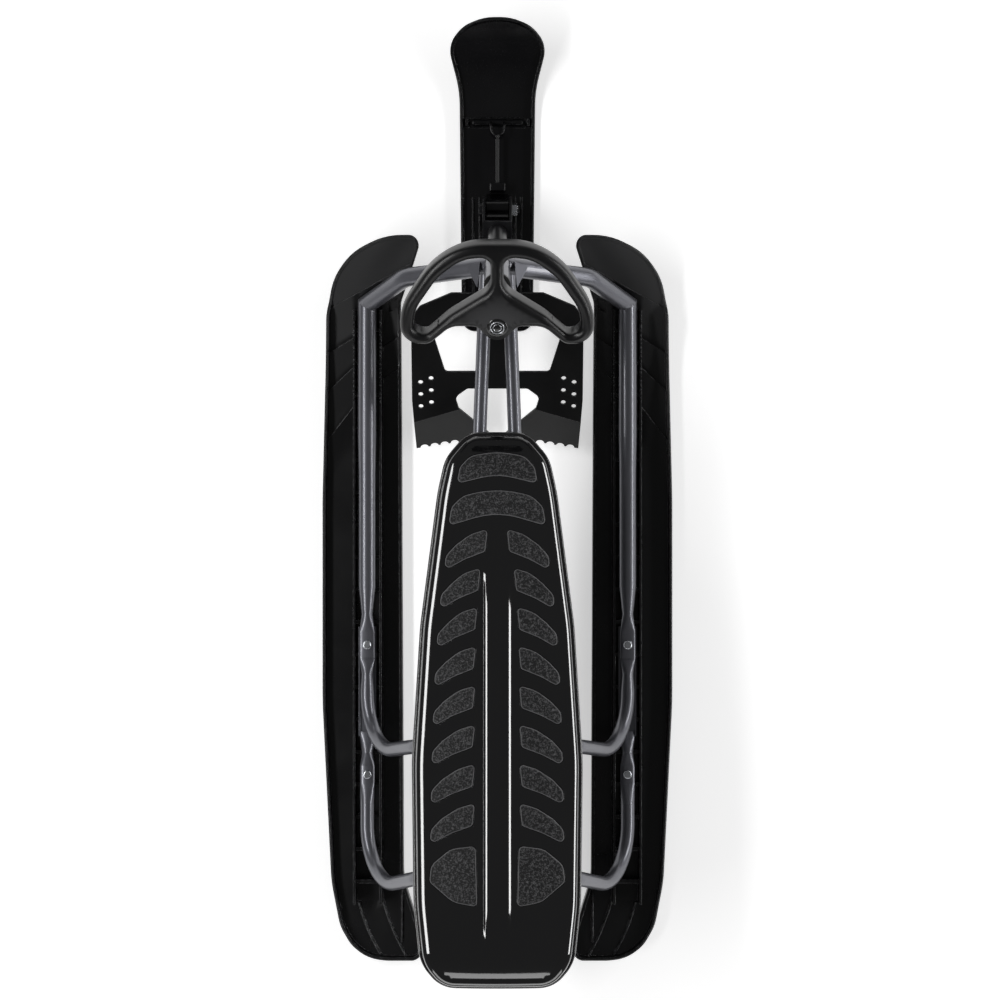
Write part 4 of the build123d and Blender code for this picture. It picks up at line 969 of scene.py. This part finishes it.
# %% [markdown]
# ### The pads
# The pads are soft foam rubber, glued into the recesses so that they stand a little proud. Their surface is
# a coarse grain that never shines, and their edge is rounded and painted a lighter grey, a painted
# highlight that draws a fine line around each one.

# %% Seat pads
PAD_PROUD, PAD_ROLL = 0.7, 1.5
# Steps of the edge, and how much of the painted highlight each one takes.
PAD_EDGE = [(PAD_ROLL, 0.0), (1.0, -0.1), (0.45, -0.4), (0.15, -0.8), (0.0, -1.3), (0.0, -2.5)]
PAD_HIGHLIGHT = [0.0, 0.35, 0.9, 0.9, 0.4, 0.0]


def pad_top(x, y):
    return seat_height(x, y) + PAD_PROUD


bm = bmesh.new()
sheen_and_roughness = sheen_and_roughness_layer(bm)
for pad in pads:
    for ring, pale in zip(skin_loops(bm, edge_loops(pad, PAD_EDGE, pad_top)), PAD_HIGHLIGHT):
        for vertex in ring:
            vertex[sheen_and_roughness] = pale
    lifted(bm, *drawn_triangles(inset(pad, PAD_ROLL), [], 7.0), pad_top)
    lifted(bm, *drawn_triangles(pad, [], 14.0), lambda x, y: pad_top(x, y) + PAD_EDGE[-1][1])
seat_pads = new_piece("foam_pads", bm, "frame", "pad_grain", ["seat_pads"], crease=60)

# %% [markdown]
# ## The runners
# Each runner is a long ski that curves up at its tip and a little at its tail. A rim runs all round it, a
# channel with two walls holds the tube, and the decks beside it step down backward in slanted shingles
# behind the tip, with a pocket on the inside and long curved ridges at the tail. All of that is one drawing
# lifted into relief, as the seat was. Its lines come in pairs half a millimetre apart, the foot and the top
# of a wall.

# %% A plate with a rim
FOOT_STEP = 0.5
BASE_ROLL = [(0.0, 1.2), (0.3, 0.4), (1.2, 0.0)]


def arc_rise(y, start, reach, top):
    # Height of an arc that leaves the ground at start and reaches top after a given run.
    run = (y - start) * (1 if reach > 0 else -1)
    if run <= 0:
        return 0.0
    radius = (reach ** 2 + top ** 2) / (2 * top)
    return radius - math.sqrt(radius ** 2 - run ** 2)


def rimmed_plate(outline, roll, lines, spacing, top, rim, base, groove, base_lines, base_spacing, pale=None):
    # The relief of the top, the rolled rim with its wall, and the base with its grooves.
    bm = bmesh.new()
    runs = [run for line in lines for run in clipped(line, inset(outline, roll + 0.5))]
    lifted(bm, *drawn_triangles(inset(outline, roll), runs, spacing), top, pale)
    rim_roll = [(roll, 0.0), (roll - 0.2, -0.03), (roll - 1, -0.35), (0.3, -0.9), (0.08, -1.3), (0.0, -1.9)]
    skin_loops(bm, edge_loops(outline, rim_roll, lambda x, y: base(y) + rim(y))
               + edge_loops(outline, BASE_ROLL, lambda x, y: base(y), own_height=True))
    border = inset(outline, BASE_ROLL[-1][0])
    runs = [run for line in base_lines for run in clipped(line, inset(border, 1.0))]
    lifted(bm, *drawn_triangles(border, runs, base_spacing), lambda x, y: base(y) + groove(x, y))
    return bm


def rim_share(gap, width):
    # 1 on the rim, and 0 beyond the step at its foot.
    return share((width + FOOT_STEP - gap) / FOOT_STEP)


# %% Runner: outline, base line and features
RUNNER_OUTLINE = [(100, 344, 13), (150, 344, 100), (196, 323, 80), (222, 290, 75), (232, 244, 130),
                  (238, -10, 800), (238, -285, 800), (226, -530, 200), (214, -590, 60), (199, -614, 45),
                  (177, -632, 60), (150, -635, 80), (102, -635, 15), (101.5, -608, 40), (127.5, -525, 80),
                  (131, 258, 30)]
CHANNEL_X, WALL_IN, WALL_OUT, WALL_TOP = 176.0, 16.3, 19.3, 39.0
CHANNEL_FRONT, CHANNEL_BACK, CHANNEL_FLOOR = 247.5, -558.0, 5.0
RIM_IN, DECK, TIP_PLATE = 4.4, 7.5, 6.0
TIP_LINE = ((234, 247), (104, 315))
OUTER_SHINGLES = [((234.5, 187), (195, 211)), ((234.5, 135), (195, 172)), ((234.5, 68), (195, 119))]
INNER_SHINGLES = [((157, 198), (134, 212)), ((157, 155), (134, 169))]
# How strong the painted sheen and the rougher finish are in front of each shingle.
SHINGLE_SHEEN_AND_ROUGHNESS = [0.85, 0.45, 0.28]
TAIL_RIDGES = [drawn_line((193.5, -526), (156.5, -631), 7.5), drawn_line((161.5, -528), (122.5, -632), 6.0),
               drawn_line((129.5, -550), (129.5, -612))]
RIDGE_FOOT, RIDGE_TOP, RIDGE_RISE = 1.6, 0.8, 2.4
POCKET_DEPTH = 3.5
pocket = rounded_outline([(147.5, 260, 2), (147.5, 243.5, 2), (134.5, 251, 2), (134.5, 264, 2)], step=20)
runner_outline = rounded_outline(RUNNER_OUTLINE, step=6)
runner_gap = edge_finder(runner_outline)


def runner_base(y):
    return arc_rise(y, 150.0, 198.0, 76.0) + arc_rise(y, -545.0, -95.0, 15.0)


def rim_top(y):
    return 21.0 - 14.0 * smooth_step(236, 262, y)


def line_y(line, x):
    (x0, y0), (x1, y1) = line
    return y0 + (y1 - y0) * (x - x0) / (x1 - x0)


def on_tip(x, y):
    return share((y - line_y(TIP_LINE, x)) / FOOT_STEP + 1.0)


def shingles(lines, x, y, height, reach):
    # Each shingle stands up at its line and sinks to nothing behind it.
    total = 0.0
    for line in lines:
        behind = line_y(line, x) - y
        if behind > 0:
            total = height * min(behind / FOOT_STEP, 1.0) * max(1.0 - behind / reach, 0.0)
    return total


def gap_to(line, p):
    # Distance of a point from a line.
    gaps = []
    for a, b in zip(line, line[1:]):
        run = b - a
        gaps.append((p - a - run * share((p - a).dot(run) / run.length_squared)).length)
    return min(gaps)


def runner_height(x, y):
    # Height of the runner's top face over the ground.
    off, base, tip = x - CHANNEL_X, runner_base(y), on_tip(x, y)
    deck = DECK
    if off > WALL_OUT:
        deck += shingles(OUTER_SHINGLES, x, y, 4.6, 46.0)
    elif off < -WALL_OUT:
        deck += shingles(INNER_SHINGLES, x, y, 4.0, 34.0)
    if y < -515:
        for ridge in TAIL_RIDGES:
            gap = gap_to(ridge, Vector((x, y)))
            deck += RIDGE_RISE * share((RIDGE_FOOT - gap) / (RIDGE_FOOT - RIDGE_TOP))
    if inside(Vector((x, y)), inset(pocket, 0.3)):
        deck -= POCKET_DEPTH
    height = deck * (1 - tip) + TIP_PLATE * tip
    if CHANNEL_BACK - FOOT_STEP < y < CHANNEL_FRONT + FOOT_STEP:
        wall = share((WALL_OUT + FOOT_STEP - abs(off)) / FOOT_STEP)
        hollow = share((WALL_IN - abs(off)) / FOOT_STEP)
        ends = share(min(CHANNEL_FRONT - y, y - CHANNEL_BACK) / FOOT_STEP)
        height += (WALL_TOP - base - height) * wall * ends * (1 - hollow)
        height += (CHANNEL_FLOOR - height) * hollow
    height += (max(rim_top(y), height) - height) * rim_share(runner_gap(x, y), RIM_IN)
    return base + height


def runner_sheen_and_roughness(x, y):
    # The tip and the fronts of the shingles are rougher, and painted a paler grey as a painted sheen that
    # weakens shingle by shingle toward the back.
    value = on_tip(x, y)
    if abs(x - CHANNEL_X) > WALL_OUT + FOOT_STEP:
        ahead = TIP_LINE
        for line, strength in zip(OUTER_SHINGLES if x > CHANNEL_X else INNER_SHINGLES, SHINGLE_SHEEN_AND_ROUGHNESS):
            if line_y(line, x) < y <= line_y(ahead, x):
                value = max(value, strength * smooth_step(3.0, 9.0, y - line_y(line, x)))
            ahead = line
    return value


def runner_groove(x, y):
    # The base has two long grooves that keep the sled straight.
    across = max(0.0, 1.0 - max(abs(abs(x - CHANNEL_X) - 11.0) - 3.0, 0.0))
    return 2.2 * across * smooth_step(130, 110, y) * smooth_step(-520, -500, y)


# %% Runner: the lines of the drawing
def moved(line, distance):
    # A line moved sideways along its own normals.
    around = zip(line[:1] + line[:-1], line[1:] + line[-1:], line)
    return [p + Vector((-(b - a).y, (b - a).x)).normalized() * distance for a, b, p in around]


lines = []
for side in (1, -1):
    for distance in (WALL_IN - FOOT_STEP, WALL_IN, WALL_OUT, WALL_OUT + FOOT_STEP):
        x = CHANNEL_X + side * distance
        lines.append(drawn_line((x, CHANNEL_FRONT - FOOT_STEP), (x, CHANNEL_BACK + FOOT_STEP), every=7.0))
for y in (CHANNEL_FRONT, CHANNEL_FRONT - FOOT_STEP, CHANNEL_BACK + FOOT_STEP, CHANNEL_BACK):
    lines.append(drawn_line((CHANNEL_X - WALL_OUT - 1, y), (CHANNEL_X + WALL_OUT + 1, y), every=3.0))
for (x0, y0), (x1, y1) in OUTER_SHINGLES + INNER_SHINGLES + [TIP_LINE]:
    for shift in (-9.0, -3.0, 0.0, FOOT_STEP):
        lines.append(drawn_line((x0, y0 - shift), (x1, y1 - shift)))
for ridge in TAIL_RIDGES:
    lines += [moved(ridge, distance) for distance in (-RIDGE_FOOT, -RIDGE_TOP, RIDGE_TOP, RIDGE_FOOT)]
loops = [pocket, inset(pocket, 0.6), inset(runner_outline, RIM_IN), inset(runner_outline, RIM_IN + FOOT_STEP)]
tip_rows = range(158, 340, 9)
lines += [loop + loop[:1] for loop in loops] + [drawn_line((92, y), (246, y), every=6.0) for y in tip_rows]
base_lines = [drawn_line((CHANNEL_X + side * x, 150), (CHANNEL_X + side * x, -540), every=14.0)
              for side in (1, -1) for x in (7, 8, 14, 15)]
base_lines += [drawn_line((92, y), (246, y), every=9.0) for y in tip_rows]

# %% Runner: the mouldings
RUNNER_ROLL = 2.1
bm = rimmed_plate(runner_outline, RUNNER_ROLL, lines, 9.0, runner_height, rim_top, runner_base, runner_groove,
                  base_lines, 20.0, runner_sheen_and_roughness)
other = bm.copy()
other.transform(Matrix.Scale(-1, 4, (1, 0, 0)))
new_piece("right_runner_moulding", bm, "frame", "runner_plastic", ["right_runner"], crease=28)
new_piece("left_runner_moulding", other, "frame", "runner_plastic", ["left_runner"], crease=28)

# %% [markdown]
# ### Ribs of the runners
# The tube rests on cross ribs in the channel, and small saw ribs stand on the channel's walls near the tip.
# The same tree that placed the wheel's ribs places these, on points along the channel.

# %% Ribs of the channel
SADDLE_TOP, SADDLE_PITCH, SAW_PITCH = 29.3, 44, 5.7
wall_middle = (WALL_IN + WALL_OUT) / 2
saw_points = [(side * (CHANNEL_X + half * wall_middle), 230 - SAW_PITCH * k, WALL_TOP + 0.55)
              for side in (1, -1) for half in (1, -1) for k in range(20)]
grow_ribs("channel_saw_ribs", saw_points, "frame", "runner_plastic", Across=3.0, Along=3.0, Height=1.5,
          Taper=0.55)
saddle_points = [(side * CHANNEL_X, 220 - SADDLE_PITCH * k, (SADDLE_TOP + CHANNEL_FLOOR) / 2)
                 for side in (1, -1) for k in range(18)]
grow_ribs("channel_saddles", saddle_points, "frame", "runner_plastic", Across=2 * WALL_IN + 0.8, Along=5.0,
          Height=SADDLE_TOP - CHANNEL_FLOOR, Taper=0.985)

# %% [markdown]
# ## The front ski
# The front ski is a plate with a rim like the runners, with a broad shovel tip. The tow handle is clipped
# in a recess across it between two end clips, and a block near its tail takes the pivot bolt. The steep tip
# needs rows of points across it, a few millimetres apart, so that the arc stays smooth in the gloss.

# %% Ski: outline and heights
SKI_HALF = [(18, 635, 85), (46.8, 625.4, 45), (67, 603.6, 28), (51.8, 548, 150), (48.5, 220, 18)]
SKI_PLATE, SKI_RIM, SKI_RIM_IN = 5.0, 11.0, 4.2
RECESS_X, RECESS_Y, RECESS_FLOOR = 37.0, 6.5, 3.5
CLIP_LONG, CLIP_RISE = 9.0, 5.5
SKI_RIBS, SKI_RIB_RISE, SKI_RIB_FRONT, SKI_RIB_BACK = (24.0, 33.0), 2.2, 404, 232
ski_outline = rounded_outline(SKI_HALF + mirrored(SKI_HALF), step=5)
ski_gap = edge_finder(ski_outline)


def ski_base(y):
    return arc_rise(y, 500.0, 140.0, 78.0)


def ski_height(x, y):
    # Height of the ski's top face over the ground.
    height = SKI_PLATE
    off_x, off_y = abs(x) - RECESS_X, abs(y - BAR_Y) - RECESS_Y
    if off_x < CLIP_LONG and off_y < 0:
        height += CLIP_RISE * smooth_step(CLIP_LONG, 6.0, off_x) * smooth_step(0.0, -2.0, off_y) \
            * smooth_step(1.0, 2.0, off_x)
    height += (RECESS_FLOOR - height) * share((0.8 - max(off_x, off_y)) / 0.6)
    for rib in SKI_RIBS:
        height += SKI_RIB_RISE * share((1.5 - abs(abs(x) - rib)) / 0.7) \
            * smooth_step(SKI_RIB_FRONT, SKI_RIB_FRONT - 6, y) * smooth_step(SKI_RIB_BACK, SKI_RIB_BACK + 8, y)
    return ski_base(y) + height + (SKI_RIM - height) * rim_share(ski_gap(x, y), SKI_RIM_IN)


def ski_groove(x, y):
    # Two shallow grooves lie under the flat part.
    across = max(0.0, 1.0 - max(abs(abs(x) - 17.0) - 3.0, 0.0))
    return 1.8 * across * smooth_step(490, 470, y) * smooth_step(232, 250, y)


# %% Ski: the moulding
lines = []
for grow in (0.8, 0.2):
    w, h = RECESS_X + grow, RECESS_Y + grow
    corners = [(w, BAR_Y - h), (w, BAR_Y + h), (-w, BAR_Y + h), (-w, BAR_Y - h), (w, BAR_Y - h)]
    lines += [drawn_line(a, b) for a, b in zip(corners, corners[1:])]
for side in (1, -1):
    for x in [side * (rib + off) for rib in SKI_RIBS for off in (-1.5, -0.8, 0.8, 1.5)]:
        lines.append(drawn_line((x, SKI_RIB_BACK), (x, SKI_RIB_FRONT), every=8.0))
    for x in (38.5, 41, 43.5, 46):
        lines.append(drawn_line((side * x, BAR_Y - RECESS_Y), (side * x, BAR_Y + RECESS_Y), every=2.0))
lines += [drawn_line((-64, y), (64, y), every=5.0) for y in range(506, 634, 5)]
rims = [inset(ski_outline, SKI_RIM_IN), inset(ski_outline, SKI_RIM_IN + FOOT_STEP)]
lines += [loop + loop[:1] for loop in rims]
base_lines = [drawn_line((side * x, 232), (side * x, 492), every=12.0)
              for side in (1, -1) for x in (13, 14, 20, 21)]
base_lines += [drawn_line((-64, y), (64, y), every=9.0) for y in range(506, 634, 6)]
SKI_ROLL = 2.0
bm = rimmed_plate(ski_outline, SKI_ROLL, lines, 7.0, ski_height, lambda y: SKI_RIM, ski_base, ski_groove,
                  base_lines, 16.0)
new_piece("front_ski_moulding", bm, "ski", "ski_plastic", ["front_ski"], crease=30)

# %% [markdown]
# ### Pivot block and cord housing
# The block is a slab with a round top and a bore for the bolt. Its side is one drawing, a ring between its
# outline and its bore, and its edges are rounded by the same insets as the other mouldings. The housing is
# a small rounded box that the cord winds into.

# %% Pivot block
BLOCK_HALF, BLOCK_R, BLOCK_FOOT, BORE_R, BLOCK_BASE = 15.8, 13.0, 26.0, 5.08, 4
BLOCK_EDGE = [(1.6, 0), (1.0, 0.12), (0.45, 0.5), (0.12, 1.0), (0, 1.7)]
BORE_EDGE = [(-0.8, 0), (0, 0.8)]
middle = PIVOT.yz


def on_circle(radius, degrees):
    return middle + Vector((math.cos(math.radians(degrees)), math.sin(math.radians(degrees)))) * radius


side_view = [Vector((middle.x - BLOCK_FOOT, BLOCK_BASE)), Vector((middle.x + BLOCK_FOOT, BLOCK_BASE))]
side_view = turned_left(spaced(side_view + [on_circle(BLOCK_R, a) for a in range(10, 171, 8)], 5.0))
bm = bmesh.new()
ends = []
for loop, steps in ((side_view, BLOCK_EDGE), ([on_circle(BORE_R, 9 * k) for k in range(40)], BORE_EDGE)):
    profile = [(d, BLOCK_HALF - s) for d, s in steps] + [(d, s - BLOCK_HALF) for d, s in reversed(steps)]
    ends.append(skin_loops(bm, [[Vector((x, *p)) for p in inset(loop, d)] for d, x in profile]))
for k in (0, -1):
    fill_between(bm, [rings[k] for rings in ends])
new_piece("pivot_block", bm, "ski", "ski_plastic", crease=40)

# %% Cord housing
HOUSING_HALF, HOUSING_BACK, HOUSING_R = 11.0, 409.0, 2.5
HOUSING_EDGE = [(2.2, 25), (1.2, 24.75), (0.45, 24.1), (0.08, 23.2), (0, 22), (0, 5.6), (0, 4.6)]
right = [(HOUSING_HALF, HOUSING_BACK, HOUSING_R), (HOUSING_HALF, HOUSING_FRONT, HOUSING_R)]
box_plan = rounded_outline(right + mirrored(right), step=18)
bm = bmesh.new()
rings = skin_loops(bm, edge_loops(box_plan, HOUSING_EDGE, lambda x, y: 0.0))
fill_between(bm, rings[:1])
fill_between(bm, rings[-1:])
new_piece("cord_housing_box", bm, "ski", "ski_plastic", ["cord_housing"], crease=40)
